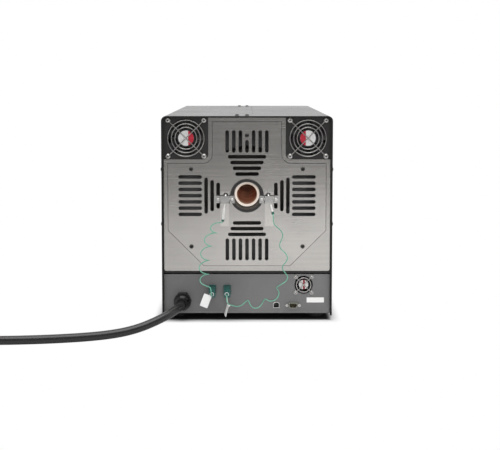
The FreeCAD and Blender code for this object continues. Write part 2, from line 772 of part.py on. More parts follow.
def feet():
    """Tapered rubber feet, each with a hollow sole and a stem pressed into the pan."""
    profile = ((0, FOOT_HOLLOW), (FOOT_R / 3, FOOT_HOLLOW), (FOOT_R / 3, 0), (FOOT_R - FOOT_TAPER, 0),
               (FOOT_R, PAN_Z), (M4_R, PAN_Z), (M4_R, PAN_TOP + M4_R), (0, PAN_TOP + M4_R))
    return Part.makeCompound([revolve_along(profile, V(x, y, 0), V(0, 0, 1)) for x, y in foot_places()])


def divider_shelf():
    """Sheet between the hot zone and the electronics, flanged up at both ends."""
    half = FLANGE_IN - FIT
    level = block(-half, half, CHASSIS_IN, BODY_D - CHASSIS_IN, SHELF_Z, SHELF_Z + SHELF_T)
    flange = block(-half, half, CHASSIS_IN, CHASSIS_IN + SHELF_T, SHELF_Z, SHELF_Z + SHELF_FLANGE_H)
    return join([level, flange, front(flange)])


# Tube and hot zone


def furnace_tube():
    return tube(0, TUBE_Z, TUBE_R, TUBE_BORE_R, TUBE_RECESS, BODY_D - TUBE_RECESS)


def collar(flange_d):
    """Flanged sleeve in one tube port, with tapped holes for the clamp screws."""
    flange = tube(0, TUBE_Z, COLLAR_R, COLLAR_BORE_R, flange_d, flange_d + COLLAR_T)
    sleeve = tube(0, TUBE_Z, SLEEVE_OUT_R, COLLAR_BORE_R, flange_d, COLLAR_L)
    return join([flange, sleeve])


def tube_collars():
    rear = collar(COLLAR_D)
    holes = [rod(side * INNER_SCREW_X, STRAP_Z, M3_R + HOLE_GAP, COLLAR_D - 1, COLLAR_D + COLLAR_T - FIT)
             for side in (-1, 1)]
    return Part.makeCompound([rear.cut(Part.makeCompound(holes)), front(collar(STEEL_D - COLLAR_T))])


def vestibule_rings():
    """Fibre rings that carry the tube at both ends of the drum."""
    d0 = DRUM_D + DRUM_T + FIT
    ring = tube(0, TUBE_Z, DRUM_R - DRUM_T - FIT, TUBE_R + FIT, d0, d0 + VESTIBULE_T)
    holes = [rod(side * PROBE_X, PROBE_Z, PROBE_R + FIT, d0 - 1, d0 + VESTIBULE_T + 1) for side in (-1, 1)]
    return [ring.cut(Part.makeCompound(holes)), front(ring)]


def half_shells(outer, inner):
    """Upper and lower half cylinders round the tube, a small gap apart."""
    d0 = DRUM_D + DRUM_T + VESTIBULE_T + 2 * FIT
    whole = tube(0, TUBE_Z, outer, inner, d0, BODY_D - d0)
    big = outer + 1
    upper = whole.common(block(-big, big, d0 - 1, BODY_D - d0 + 1, TUBE_Z + FIT / 2, TUBE_Z + big))
    lower = whole.common(block(-big, big, d0 - 1, BODY_D - d0 + 1, TUBE_Z - big, TUBE_Z - FIT / 2))
    return [upper, lower]


def heater_shells():
    return Part.makeCompound(half_shells(TUBE_R + TUBE_GAP + HEATER_T, TUBE_R + TUBE_GAP))


def insulation_shells():
    halves = half_shells(DRUM_R - DRUM_T - FIT, TUBE_R + TUBE_GAP + HEATER_T + FIT)
    return Part.makeCompound(halves + vestibule_rings())


def furnace_drum():
    """Sheet can with holed end plates round the insulation."""
    wall = tube(0, TUBE_Z, DRUM_R, DRUM_R - DRUM_T, DRUM_D, BODY_D - DRUM_D)
    end = tube(0, TUBE_Z, DRUM_R, TUBE_R + TUBE_GAP, DRUM_D, DRUM_D + DRUM_T)
    end = end.cut(Part.makeCompound([rod(s * PROBE_X, PROBE_Z, PROBE_R + FIT, DRUM_D - 1, DRUM_D + 3)
                                     for s in (-1, 1)]))
    return join([wall, end, front(end)])


def drum_cradles():
    """Two bulkheads that stand on the shelf, carry the drum and leave an air gap at the covers."""
    base = SHELF_Z + SHELF_T
    half = INNER_HALF - CRADLE_GAP
    web = block(-half, half, CRADLE_D, CRADLE_D + CRADLE_T, base, PANEL_TOP - CRADLE_GAP)
    web = web.cut(rod(0, TUBE_Z, DRUM_R + FIT, CRADLE_D - 1, CRADLE_D + CRADLE_T + 1))
    foot = block(-CRADLE_W / 2, CRADLE_W / 2, CRADLE_D, CRADLE_D + CRADLE_FOOT, base, base + CRADLE_T)
    bulkhead = join([web, foot])
    return Part.makeCompound([bulkhead, front(bulkhead)])


# Fans


def fan_frame(x, z, size, depth, pitch, bore, hub, screw_r, d):
    """Square frame with two flanges, a barrel, and a hub on struts at the outlet side."""
    half = size / 2
    flange = [rectangle(x - half, x + half, z - half, z + half, FAN_CORNER_R, d)]
    flange = sheet(flange + fan_holes(x, z, pitch, bore, screw_r, d), FAN_FLANGE_T)
    back = flange.translated(V(0, depth - FAN_FLANGE_T, 0))
    barrel = tube(x, z, half - FAN_BARREL_INSET, bore, d, d + depth)
    disc = rod(x, z, hub, d, d + FAN_STRUT_T)
    shapes = [flange, back, barrel, disc]
    for turn in (0, 90, 180, 270):
        strut = block(x, x + (bore + half) / 2, d, d + FAN_STRUT_T, z - FAN_STRUT_W / 2, z + FAN_STRUT_W / 2)
        strut.rotate(at(x, d, z), V(0, 1, 0), turn + 20)
        shapes.append(strut)
    bush = rod(x, z, FAN_SHAFT_R + FAN_SHAFT_GAP, d + 1, d + FAN_STRUT_T + 1)
    return join(shapes).cut(bush)


def blade_section(x, z, d, radius, angle, chord, pitch):
    """Thin slanted quadrilateral of one blade at a radius."""
    out = V(math.cos(angle), 0, math.sin(angle))
    round_ = V(-math.sin(angle), 0, math.cos(angle))
    lean = math.radians(pitch)
    along = round_ * math.cos(lean) + V(0, math.sin(lean), 0)
    across = V(0, math.cos(lean), 0) - round_ * math.sin(lean)
    centre = at(x, d, z) + out * radius
    corners = [centre + along * (chord / 2 * a) + across * (BLADE_T / 2 * b)
               for a, b in ((-1, -0.4), (0, -1), (1, -0.4), (1, 0.4), (0, 1), (-1, 0.4))]
    return Part.makePolygon(corners + [corners[0]])


def fan_rotor(x, z, depth, bore, hub, d):
    """Hub cup with swept, twisted blades and a shaft that turns in the frame's bush."""
    face = d + FAN_STRUT_T + FIT
    end = d + depth - 2
    cup = rod(x, z, hub, face, end)
    shaft = rod(x, z, FAN_SHAFT_R, d + 1 + FIT, face + 1)
    middle = (face + end) / 2
    tip = bore - FAN_TIP_GAP
    span = end - face
    shapes = [cup, shaft]
    for k in range(FAN_BLADES):
        start = 2 * math.pi * k / FAN_BLADES
        sections = []
        for share in (0.0, 0.5, 1.0):
            radius = hub - 1 + (tip - 0.6 - hub + 1) * share
            pitch = BLADE_ROOT_DEG + (BLADE_TIP_DEG - BLADE_ROOT_DEG) * share
            chord = min(span * 0.82 / math.sin(math.radians(pitch)), 0.86 * 2 * math.pi * radius / FAN_BLADES)
            angle = start + math.radians(BLADE_SWEEP_DEG) * share
            sections.append(blade_section(x, z, middle, radius, angle, chord, pitch))
        blade = Part.makeLoft(sections, True, True)
        shapes.append(blade.common(rod(x, z, tip, face, end)))
    return shapes[0].multiFuse(shapes[1:])


def fan_guard(x, z, pitch, rings, wire_r, eye_r, panel_d):
    """Welded wire guard: rings on two crossed spokes with an eye at each screw."""
    spoke_d = panel_d - wire_r - 0.1
    ring_d = spoke_d - wire_r * 1.4
    wires = [Part.makeTorus(r, wire_r, at(x, ring_d, z), V(0, 1, 0)) for r in rings]
    inner = pitch / math.sqrt(2) - eye_r
    for turn in (45, 135):
        ray = V(math.cos(math.radians(turn)), 0, math.sin(math.radians(turn)))
        wires.append(Part.makeCylinder(wire_r, 2 * inner, at(x, spoke_d, z) - ray * inner, ray))
        for sign in (-1, 1):
            eye = at(x, spoke_d, z) + ray * (sign * pitch / math.sqrt(2))
            wires.append(Part.makeTorus(eye_r, wire_r, eye, V(0, 1, 0)))
    return wires[0].multiFuse(wires[1:])


def fan_screws(places, pitch, radius, head_r, head_h, seat_d):
    screws = []
    for x, z in places:
        for sx in (-1, 1):
            for sz in (-1, 1):
                seat = at(x + sx * pitch / 2, seat_d, z + sz * pitch / 2)
                screws.append(screw(seat, V(0, -1, 0), radius, head_r, head_h, SCREW_L))
    return screws


def guard_seat(panel_d, wire_r):
    """Depth at which a screw head rests on a guard's eye."""
    return panel_d - 2 * wire_r - 0.1


# Probes


def probe_points(side, lean):
    """Run of one probe: out of the plate, down under its strap, then away from the plate."""
    across, outwards = lean
    knee = at(side * PROBE_X, PROBE_D, PROBE_Z)
    foot = knee + V(across, 0, -1) * PROBE_DROP
    away = V(across, -outwards, -1).normalize()
    return [at(side * PROBE_X, PROBE_INNER_D, PROBE_Z), knee, foot, foot + away * (SLEEVE_START + 1)], away


def probe(side, lean):
    """Metal sheath with a thicker sleeve crimped on its end."""
    points, away = probe_points(side, lean)
    wire = rounded_wire(points, [0, PROBE_BEND, PROBE_BEND, 0], closed=False)
    sleeve = Part.makeCylinder(SLEEVE_R, SLEEVE_L, points[2] + away * SLEEVE_START, away)
    return join([pipe(wire, PROBE_R), sleeve])


def boot_ends(side, lean):
    """Where a probe's lead boot starts and ends, and its direction."""
    points, away = probe_points(side, lean)
    start = points[2] + away * (SLEEVE_START + SLEEVE_L)
    return start, start + away * BOOT_L, away


def probe_boots():
    boots = []
    for side, lean in ((-1, LEFT_LEAN), (1, RIGHT_LEAN)):
        start, end, away = boot_ends(side, lean)
        boots.append(Part.makeCone(SLEEVE_R, BOOT_R, BOOT_L, start, away))
    return Part.makeCompound(boots)


def probe_plates():
    """Thin wear plates between the slotted plate and the probes."""
    plates = []
    d = VENT_D - PLATE_T
    for side in (-1, 1):
        near, far = sorted((side * PLATE_INNER_X, side * (PLATE_INNER_X + PLATE_W)))
        wires = [rectangle(near, far, PLATE_BOTTOM, PLATE_TOP, 1, d),
                 circle(side * PROBE_X, PROBE_Z, PROBE_HOLE_R, d)]
        plates.append(sheet(wires, PLATE_T))
    return Part.makeCompound(plates)


def probe_straps():
    """Arched straps: one foot on the collar, the other over a slot."""
    arch = PROBE_D - PROBE_R - FIT
    foot_in = COLLAR_D
    foot_out = VENT_D
    ramp = 2.6
    section = ((STRAP_INNER_X, foot_in), (ARCH_INNER_X - ramp, foot_in), (ARCH_INNER_X, arch),
               (ARCH_OUTER_X, arch), (ARCH_OUTER_X + ramp, foot_out), (STRAP_OUTER_X, foot_out),
               (STRAP_OUTER_X, foot_out - STRAP_T), (ARCH_OUTER_X + ramp + 0.6, foot_out - STRAP_T),
               (ARCH_OUTER_X + 0.6, arch - STRAP_T), (ARCH_INNER_X - 0.6, arch - STRAP_T),
               (ARCH_INNER_X - ramp - 0.6, foot_in - STRAP_T), (STRAP_INNER_X, foot_in - STRAP_T))
    straps = []
    for side in (-1, 1):
        points = [at(side * x, d, STRAP_Z - STRAP_W / 2) for x, d in section]
        strap = Part.Face(Part.makePolygon(points + [points[0]])).extrude(V(0, 0, STRAP_W))
        holes = [rod(side * x, STRAP_Z, M3_R + HOLE_GAP, arch - 9, VENT_D + 9)
                 for x in (INNER_SCREW_X, SHORT_OFF_X)]
        straps.append(strap.cut(Part.makeCompound(holes)))
    return Part.makeCompound(straps)


def strap_screws():
    """Short screws into the collar, and long ones through the slots to a nut."""
    solids = []
    for side in (-1, 1):
        inner = at(side * INNER_SCREW_X, COLLAR_D - STRAP_T, STRAP_Z)
        solids.append(screw(inner, V(0, -1, 0), M3_R, M3_HEAD_R, M3_HEAD_H, STRAP_T + COLLAR_T - 2 * FIT))
        outer = at(side * SHORT_OFF_X, VENT_D - STRAP_T, STRAP_Z)
        solids.append(screw(outer, V(0, -1, 0), M3_R, M3_HEAD_R, M3_HEAD_H, SCREW_L))
        nut = tube(side * SHORT_OFF_X, STRAP_Z, SLOT_W * 0.7, M3_R + 0.1, VENT_D + VENT_T, VENT_D + VENT_T + 2.4)
        solids.append(nut)
    return Part.makeCompound(solids)


# Connectors


def probe_sockets():
    sockets = []
    for x in SOCKET_X:
        flange = sheet([rectangle(x - SOCKET_W / 2, x + SOCKET_W / 2, SOCKET_Z - SOCKET_H / 2,
                                  SOCKET_Z + SOCKET_H / 2, 1.5, CONNECTOR_D - SOCKET_PROUD)], SOCKET_PROUD)
        body = block(x - SOCKET_BODY_W / 2, x + SOCKET_BODY_W / 2, CONNECTOR_D - 1, CONNECTOR_D + SOCKET_BODY_L,
                     SOCKET_Z - SOCKET_BODY_H / 2, SOCKET_Z + SOCKET_BODY_H / 2)
        sockets.append(join([flange, body]))
    return Part.makeCompound(sockets)


def probe_plug(x):
    """Moulded plug, drawn in towards its lead, with a short boot."""
    d = CONNECTOR_D - SOCKET_PROUD
    sections = []
    for depth, share in ((0.0, 1.0), (PLUG_L * 0.6, 0.97), (PLUG_L, 0.86)):
        w = PLUG_W / 2 * share
        h = PLUG_H / 2 * share
        sections.append(rectangle(x - w, x + w, SOCKET_Z - h, SOCKET_Z + h, 1.5, d - depth))
    body = Part.makeLoft(sections, True, True)
    root = at(x, d - PLUG_L + 1, SOCKET_Z)
    boot = Part.makeCone(PLUG_BOOT_R + 0.6, PLUG_BOOT_R, PLUG_BOOT_L + 1, root, V(0, -1, 0))
    return join([body, boot])


def plug_exit(x):
    return at(x, CONNECTOR_D - SOCKET_PROUD - PLUG_L - PLUG_BOOT_L, SOCKET_Z)


def usb_outline(grow, d):
    w = USB_W / 2 + grow
    h = USB_H / 2 + grow
    cut = USB_W * 0.2
    return outline(((USB_X - w, USB_Z - h, 0), (USB_X + w, USB_Z - h, 0), (USB_X + w, USB_Z + h - cut, 0),
                    (USB_X + w - cut, USB_Z + h, 0), (USB_X - w + cut, USB_Z + h, 0), (USB_X - w, USB_Z + h - cut, 0)), d)


def usb_socket():
    """Square-bodied socket shell with its contact tongue."""
    d = CONNECTOR_D - 1.5
    shell = sheet([usb_outline(0, d)], 17)
    hollow = sheet([usb_outline(-USB_WALL, d - 1)], 12)
    tongue = block(USB_X - 2.9, USB_X + 2.9, d + 1.5, d + 12, USB_Z - 1.8, USB_Z + 1.4)
    return join([shell.cut(hollow), tongue])


def serial_outline(grow, d):
    """D-shaped opening, wider at the top."""
    w = SERIAL_W / 2 + grow
    h = SERIAL_H / 2 + grow
    slope = SERIAL_H * 0.18
    return outline(((SERIAL_X - w + slope, SERIAL_Z - h, 2), (SERIAL_X + w - slope, SERIAL_Z - h, 2),
                    (SERIAL_X + w, SERIAL_Z + h, 2), (SERIAL_X - w, SERIAL_Z + h, 2)), d)


def serial_socket():
    """Nine-pin shell through the panel, on a flange behind it, with five pins over four."""
    face = CONNECTOR_IN
    nose = CONNECTOR_D - SERIAL_PROUD
    wires = [rectangle(SERIAL_X - SERIAL_FLANGE_W / 2, SERIAL_X + SERIAL_FLANGE_W / 2, SERIAL_Z - SERIAL_FLANGE_H / 2,
                       SERIAL_Z + SERIAL_FLANGE_H / 2, 1.5, face)]
    wires += [circle(SERIAL_X + s * SERIAL_POST_X, SERIAL_Z, M3_R + HOLE_GAP, face) for s in (-1, 1)]
    shell = sheet([serial_outline(0, nose)], face - nose + 10)
    hollow = sheet([serial_outline(-SERIAL_T, nose - 1)], SERIAL_PROUD + 1)
    body = join([sheet(wires, SERIAL_T), shell]).cut(hollow)
    pins = []
    for row, count in ((1, 5), (-1, 4)):
        for k in range(count):
            x = SERIAL_X + (k - (count - 1) / 2) * PIN_PITCH
            pins.append(rod(x, SERIAL_Z + row * PIN_ROW / 2, PIN_R, nose + 1, CONNECTOR_D + 1))
    return join([body] + pins)


def serial_posts():
    """Hexagonal jack posts that hold the shell to the panel."""
    posts = []
    face = CONNECTOR_D
    for side in (-1, 1):
        x = SERIAL_X + side * SERIAL_POST_X
        ring = [(x + SERIAL_POST_R * math.cos(math.radians(60 * k)),
                 SERIAL_Z + SERIAL_POST_R * math.sin(math.radians(60 * k)), 0)
                for k in range(6)]
        post = sheet([outline(ring, face - 5)], 5)
        stem = rod(x, SERIAL_Z, M3_R, face - 1, face + 8)
        well = rod(x, SERIAL_Z, M3_R - 0.2, face - 6, face - 2)
        posts.append(join([post, stem]).cut(well))
    return Part.makeCompound(posts)


def gland_body():
    """Hexagonal base with its neck through the panel and a lock ring behind."""
    d = CONNECTOR_D
    ring = [(GLAND_X + GLAND_R * math.cos(math.radians(60 * k)),
             GLAND_Z + GLAND_R * math.sin(math.radians(60 * k)), 1.5)
            for k in range(6)]
    base = sheet([outline(ring, d - GLAND_BASE_T)], GLAND_BASE_T)
    neck = rod(GLAND_X, GLAND_Z, GLAND_NECK_R, d - 1, CONNECTOR_IN + 12)
    lock = rod(GLAND_X, GLAND_Z, GLAND_NECK_R + 4, CONNECTOR_IN, CONNECTOR_IN + 5)
    return join([base, neck, lock])


def gland_nut():
    """Fluted nut with a domed nose that grips the lead."""
    d = CONNECTOR_D - GLAND_BASE_T
    r = GLAND_R - 0.6
    n = GLAND_NOSE_R
    bore = CORD_R + FIT
    length = GLAND_NUT_L
    profile = ((bore, 0), (r, 0), (r, length * 0.42), (r - 0.8, length * 0.58), (n + (r - n) * 0.62, length * 0.8),
               (n + 0.8, length * 0.95), (n, length), (bore, length))
    nut = revolve_along(profile, at(GLAND_X, d, GLAND_Z), V(0, -1, 0))
    flutes = []
    for k in range(12):
        angle = math.radians(30 * k)
        place = at(GLAND_X + (r + 1.0) * math.cos(angle), d, GLAND_Z + (r + 1.0) * math.sin(angle))
        flutes.append(Part.makeCylinder(1.6, length * 0.4, place, V(0, -1, 0)))
    return nut.cut(Part.makeCompound(flutes))


# Leads


def bezier(points, s):
    a, b, c, e = points
    t = 1 - s
    return a * t ** 3 + b * (3 * t * t * s) + c * (3 * t * s * s) + e * s ** 3


def left_lead():
    """Curly lead: tilted rings round a bent axis, from the left boot to its plug."""
    start, exit_, away = boot_ends(-1, LEFT_LEAN)
    axis = [at(*p) for p in LEFT_AXIS]
    points = [exit_ + away * LEAD_GAP, exit_ + away * (2 * LEAD_R)]
    steps = int(LEFT_CURLS * 4)
    for k in range(1, steps + 1):
        turn = math.pi * k / 2
        swing = math.sin(turn)
        ring = V(LEFT_CURL_R * math.cos(turn), LEFT_CURL_DEPTH * swing, LEFT_CURL_LIFT * swing)
        points.append(bezier(axis, k / steps) + ring)
    points += [at(*p) for p in LEFT_TAIL]
    stop = plug_exit(SOCKET_X[0])
    points += [stop - V(0, 2 * LEAD_R, 0), stop]
    wire = wound_wire(points, away, V(0, 1, 0))
    solid = pipe(wire, LEAD_R)
    report_tube("left_lead", solid, wire, LEAD_R)
    report_gap("left_lead", wire, LEAD_R, 14)
    return solid


def right_lead():
    start, exit_, away = boot_ends(1, RIGHT_LEAN)
    points = [exit_ + away * LEAD_GAP, exit_ + away * (2 * LEAD_R)] + [at(*p) for p in RIGHT_ROUTE]
    points += [plug_exit(SOCKET_X[1])]
    return free_cord("right_lead", points, LEAD_R)


def tag_frame(x, z, tilt, turn):
    """Front end of a tag's tie, the tag's normal there, and its turn."""
    spin = FreeCAD.Rotation(V(0, 1, 0), tilt).multiply(FreeCAD.Rotation(V(0, 0, 1), turn))
    boot_d = CONNECTOR_D - SOCKET_PROUD - PLUG_L - PLUG_BOOT_L / 2
    return at(x, boot_d, z), spin.multVec(V(0, 1, 0)), spin


def cable_tags():
    """Paper tags, each hung from a hole near one corner."""
    tags = []
    for place in TAG_PLACES:
        knot, normal, spin = tag_frame(*place)
        wires = [rectangle(TAG_EDGE - TAG_W, TAG_EDGE, TAG_EDGE - TAG_L, TAG_EDGE, 1.5, -REAR_Y),
                 circle(0, 0, TAG_HOLE_R, -REAR_Y)]
        plate = sheet(wires, TAG_T)
        plate.Placement = FreeCAD.Placement(knot + normal * (TIE_R + FIT), spin)
        tags.append(plate)
    return Part.makeCompound(tags)


def tag_ties():
    """Ring round each plug's boot, a short string, and a knot behind the tag."""
    ties = []
    for x, place in zip(SOCKET_X, TAG_PLACES):
        knot, normal, spin = tag_frame(*place)
        boot = V(x, knot.y, SOCKET_Z)
        ring_r = PLUG_BOOT_R + 0.6 + TIE_R
        down = (knot - boot).normalize()
        string = Part.makeCylinder(TIE_R, (knot - boot).Length - ring_r, boot + down * ring_r, down)
        through = TIE_R + TAG_T + 2 * FIT + KNOT_R
        ties.append(join([Part.makeTorus(ring_r, TIE_R, boot, V(0, 1, 0)), string, Part.makeSphere(TIE_R, knot),
                          Part.makeCylinder(TIE_R, through, knot, normal),
                          Part.makeSphere(KNOT_R, knot + normal * through)]))
    return Part.makeCompound(ties)


def mains_cord():
    return free_cord("mains_cord", [at(*p) for p in CORD_ROUTE], CORD_R)


def coil_place(turn):
    """Point of the coil after a number of turns, clockwise from above."""
    centre_d = CORD_ROUTE[-1][1] + COIL_OUTER_R
    level = CORD_ROUTE[-1][2]
    inner = COIL_OUTER_R - COIL_STEP * COIL_TURNS_IN
    climb = COIL_TURNS_IN + COIL_TURNS_CLIMB
    if turn <= COIL_TURNS_IN:
        radius, height = COIL_OUTER_R - COIL_STEP * turn, 0.0
    elif turn <= climb:
        radius, height = inner, COIL_LAYER * (turn - COIL_TURNS_IN) / COIL_TURNS_CLIMB
    else:
        radius, height = inner + COIL_STEP * (turn - climb), COIL_LAYER
    angle = -math.pi / 2 - 2 * math.pi * turn
    return at(COIL_X + radius * math.cos(angle), centre_d + radius * math.sin(angle), level + height)


def coil_turns():
    return COIL_TURNS_IN + COIL_TURNS_CLIMB + COIL_TURNS_OUT


def coil_points():
    """Entry run, loops and the tail that leads down to the plug."""
    points = [at(*CORD_ROUTE[-1]), at(*CORD_ROUTE[-1]) - V(COIL_END_L, 0, 0)]
    steps = int(coil_turns() * 8)
    points += [coil_place(k / 8) for k in range(steps + 1)]
    last = points[-1]
    drop = last.z - MAINS_PLUG_R - FIT
    tail = last + V(0, COIL_TAIL, 0)
    low = tail + V(0, COIL_DROP_L, -drop)
    points += [last + V(0, COIL_END_L, 0), tail, tail + V(0, COIL_DROP_L / 2, -drop / 2)]
    return points + [low, low + V(0, COIL_END_L, 0)]


def mains_coil():
    wire = wound_wire(coil_points(), V(-1, 0, 0), V(0, 1, 0))
    solid = pipe(wire, CORD_R)
    report_tube("mains_coil", solid, wire, CORD_R)
    report_gap("mains_coil", wire, CORD_R, 120)
    return solid


def mains_tie():
    """Flat strap round the coil's turns at one place."""
    inside = [coil_place(TIE_TURN + k) for k in (0, 1, 2) if TIE_TURN + k <= coil_turns()]
    centre = V(COIL_X, REAR_Y + CORD_ROUTE[-1][1] + COIL_OUTER_R, 0)
    out = inside[0] - V(centre.x, centre.y, inside[0].z)
    out.normalize()
    reach = [(p - V(centre.x, centre.y, p.z)).Length for p in inside]
    grow = CORD_R + TIE_GAP
    low = centre + out * (min(reach) - grow)
    high = centre + out * (max(reach) + grow)
    z0 = inside[0].z - grow
    z1 = max(p.z for p in inside) + grow
    along = V(-out.y, out.x, 0) * TIE_W

    def ring(extra):
        a = low - out * extra
        b = high + out * extra
        pts = [V(a.x, a.y, z0 - extra), V(b.x, b.y, z0 - extra), V(b.x, b.y, z1 + extra), V(a.x, a.y, z1 + extra)]
        return rounded_wire(pts, [3 + extra] * 4)

    band = Part.Face(ring(TIE_T)).extrude(along).cut(Part.Face(ring(0)).extrude(along))
    return band.translated(along * -0.5)


def mains_plug():
    """Moulded three-pin plug in line with the lead's end."""
    end = coil_points()[-1]
    r = MAINS_PLUG_R
    length = MAINS_PLUG_L
    profile = ((0, 0), (CORD_R + 1.5, 0), (CORD_R + 3, length * 0.22), (r * 0.82, length * 0.42),
               (r * 0.86, length * 0.8), (r, length * 0.84), (r, length), (0, length))
    body = revolve_along(profile, end, V(0, 1, 0))
    face = end + V(0, length - 1, 0)
    blades = [Part.makeBox(1.6, BLADE_L + 1, 6.4, face + V(s * 8 - 0.8, 0, 1)) for s in (-1, 1)]
    earth = Part.makeCylinder(2.4, BLADE_L + 3, face + V(0, 0, -8), V(0, 1, 0))
    return join([body, earth] + blades)


# Controls on the front, built at the rear and mirrored


def control_panel():
    d = CONNECTOR_D
    half = FLANGE_IN - FIT
    wires = [rectangle(-half, half, CONNECTOR_BOTTOM, CONNECTOR_TOP, 1, d)]
    k = KEY_W / 2 + FIT
    wires += [rectangle(x - k, x + k, KEY_Z - k, KEY_Z + k, 1.5, d) for name, x in KEYS]
    w = DISPLAY_W / 2 - DISPLAY_BORDER + HOLE_GAP
    h = DISPLAY_H / 2 - DISPLAY_BORDER + HOLE_GAP
    wires.append(rectangle(DISPLAY_X - w, DISPLAY_X + w, DISPLAY_Z - h, DISPLAY_Z + h, 1, d))
    w, h = switch_half(HOLE_GAP + SWITCH_WALL)
    wires.append(rectangle(ROCKER_X - w, ROCKER_X + w, ROCKER_Z - h, ROCKER_Z + h, 1, d))
    return front(sheet(wires, SHEET_T))


def key(x):
    """Square key cap with a flange behind the panel that keeps it in."""
    half = KEY_W / 2
    cap = sheet([rectangle(x - half, x + half, KEY_Z - half, KEY_Z + half, 1.2, CONNECTOR_D - KEY_PROUD)],
                KEY_PROUD + SHEET_T + FIT)
    edge = half + KEY_FLANGE
    back = CONNECTOR_IN + FIT
    return front(join([cap, block(x - edge, x + edge, back, back + 1.2, KEY_Z - edge, KEY_Z + edge)]))


def display_window():
    """Lens whose lip stands on the panel and whose body fills the opening."""
    w = DISPLAY_W / 2
    h = DISPLAY_H / 2
    b = DISPLAY_BORDER
    edge = rectangle(DISPLAY_X - w, DISPLAY_X + w, DISPLAY_Z - h, DISPLAY_Z + h, 4, CONNECTOR_D - LENS_T)
    lip = sheet([edge], LENS_T)
    body = block(DISPLAY_X - w + b, DISPLAY_X + w - b, CONNECTOR_D - LENS_T, CONNECTOR_IN + LENS_T,
                 DISPLAY_Z - h + b, DISPLAY_Z + h - b)
    return front(join([lip, body]))


def switch_half(grow):
    return ROCKER_W / 2 + FIT + grow, ROCKER_L / 2 + 1.2 + grow


def switch_frame():
    """Open-fronted box with a border on the panel and holes for the rocker's pins."""
    w, h = switch_half(0)
    t = SWITCH_WALL
    b = SWITCH_BORDER + t
    face = CONNECTOR_D - 2.4
    edge = rectangle(ROCKER_X - w - b, ROCKER_X + w + b, ROCKER_Z - h - b, ROCKER_Z + h + b, 2, face)
    border = sheet([edge], 2.4)
    body = block(ROCKER_X - w - t, ROCKER_X + w + t, face, face + SWITCH_DEPTH, ROCKER_Z - h - t, ROCKER_Z + h + t)
    well = block(ROCKER_X - w, ROCKER_X + w, face - 1, face + SWITCH_DEPTH - t, ROCKER_Z - h, ROCKER_Z + h)
    pin_start = at(ROCKER_X - w - 0.8, ROCKER_PIVOT_D, ROCKER_Z)
    pins = Part.makeCylinder(ROCKER_PIN_R + ROCKER_PIN_GAP, 2 * w + 1.6, pin_start, V(1, 0, 0))
    return front(join([border, body]).cut(well).cut(pins))


def switch_rocker():
    """Rocker at its off position, on two stub pins."""
    half = ROCKER_L / 2
    section = ((-half, 5.0), (-half * 0.3, 6.3), (half * 0.3, 6.3), (half, 5.0),
               (half * 0.72, 13.5), (-half * 0.72, 13.5))
    points = [at(ROCKER_X - ROCKER_W / 2, d, ROCKER_Z + z) for z, d in section]
    body = Part.Face(Part.makePolygon(points + [points[0]])).extrude(V(ROCKER_W, 0, 0))
    reach = ROCKER_W / 2 + FIT + 0.6
    pin = Part.makeCylinder(ROCKER_PIN_R, 2 * reach, at(ROCKER_X - reach, ROCKER_PIVOT_D, ROCKER_Z), V(1, 0, 0))
    rocker = join([body, pin])
    rocker.rotate(at(ROCKER_X, ROCKER_PIVOT_D, ROCKER_Z), V(1, 0, 0), ROCKER_TILT)
    return front(rocker)


# Electronics


def control_board():
    """Circuit board on four posts, with its main blocks."""
    x0 = BOARD_X - BOARD_W / 2
    x1 = BOARD_X + BOARD_W / 2
    shapes = [block(x0, x1, BOARD_D, BOARD_D + BOARD_L, BOARD_Z, BOARD_Z + BOARD_T)]
    for x in (x0 + 6, x1 - 6):
        for d in (BOARD_D + 6, BOARD_D + BOARD_L - 6):
            shapes.append(Part.makeCylinder(POST_R, BOARD_Z - PAN_TOP, at(x, d, PAN_TOP), V(0, 0, 1)))
    top = BOARD_Z + BOARD_T
    shapes.append(block(x0 + 14, x0 + 54, BOARD_D + 20, BOARD_D + 60, top, top + 30))
    shapes.append(block(x1 - 70, x1 - 20, BOARD_D + 30, BOARD_D + 90, top, top + 14))
    return front(join(shapes))


def power_supply():
    """Folded supply case, open towards the pan, with the heater relay beside it."""
    x0 = SUPPLY_X - SUPPLY_W / 2
    x1 = x0 + SUPPLY_W
    d1 = SUPPLY_D + SUPPLY_L
    top = PAN_TOP + SUPPLY_H
    case = block(x0, x1, SUPPLY_D, d1, PAN_TOP, top)
    inside = block(x0 + CASE_T, x1 - CASE_T, SUPPLY_D + CASE_T, d1 - CASE_T, PAN_TOP - 1, top - CASE_T)
    middle = (SUPPLY_D + d1) / 2
    relay = block(x1 - CASE_T / 2, x1 + RELAY_W, middle - RELAY_L / 2, middle + RELAY_L / 2,
                  PAN_TOP, PAN_TOP + RELAY_H)
    return join([case.cut(inside), relay])


large = dict(size=FAN_SIZE, depth=FAN_DEPTH, pitch=FAN_PITCH, bore=FAN_BORE_R, hub=FAN_HUB_R,
             screw_r=M4_R, d=CHASSIS_IN)
small = dict(size=SMALL_FAN_SIZE, depth=SMALL_FAN_DEPTH, pitch=SMALL_FAN_PITCH, bore=SMALL_FAN_BORE_R,
             hub=SMALL_FAN_HUB_R, screw_r=M3_R, d=CONNECTOR_IN)
large_screws = fan_screws(((-FAN_X, FAN_Z), (FAN_X, FAN_Z)), FAN_PITCH, M4_R, M4_HEAD_R, M4_HEAD_H,
                          guard_seat(CHASSIS_D, FAN_WIRE_R))
small_screws = fan_screws(((SMALL_FAN_X, SMALL_FAN_Z),), SMALL_FAN_PITCH, M3_R, M3_HEAD_R, M3_HEAD_H,
                          guard_seat(CONNECTOR_D, SMALL_FAN_WIRE_R))

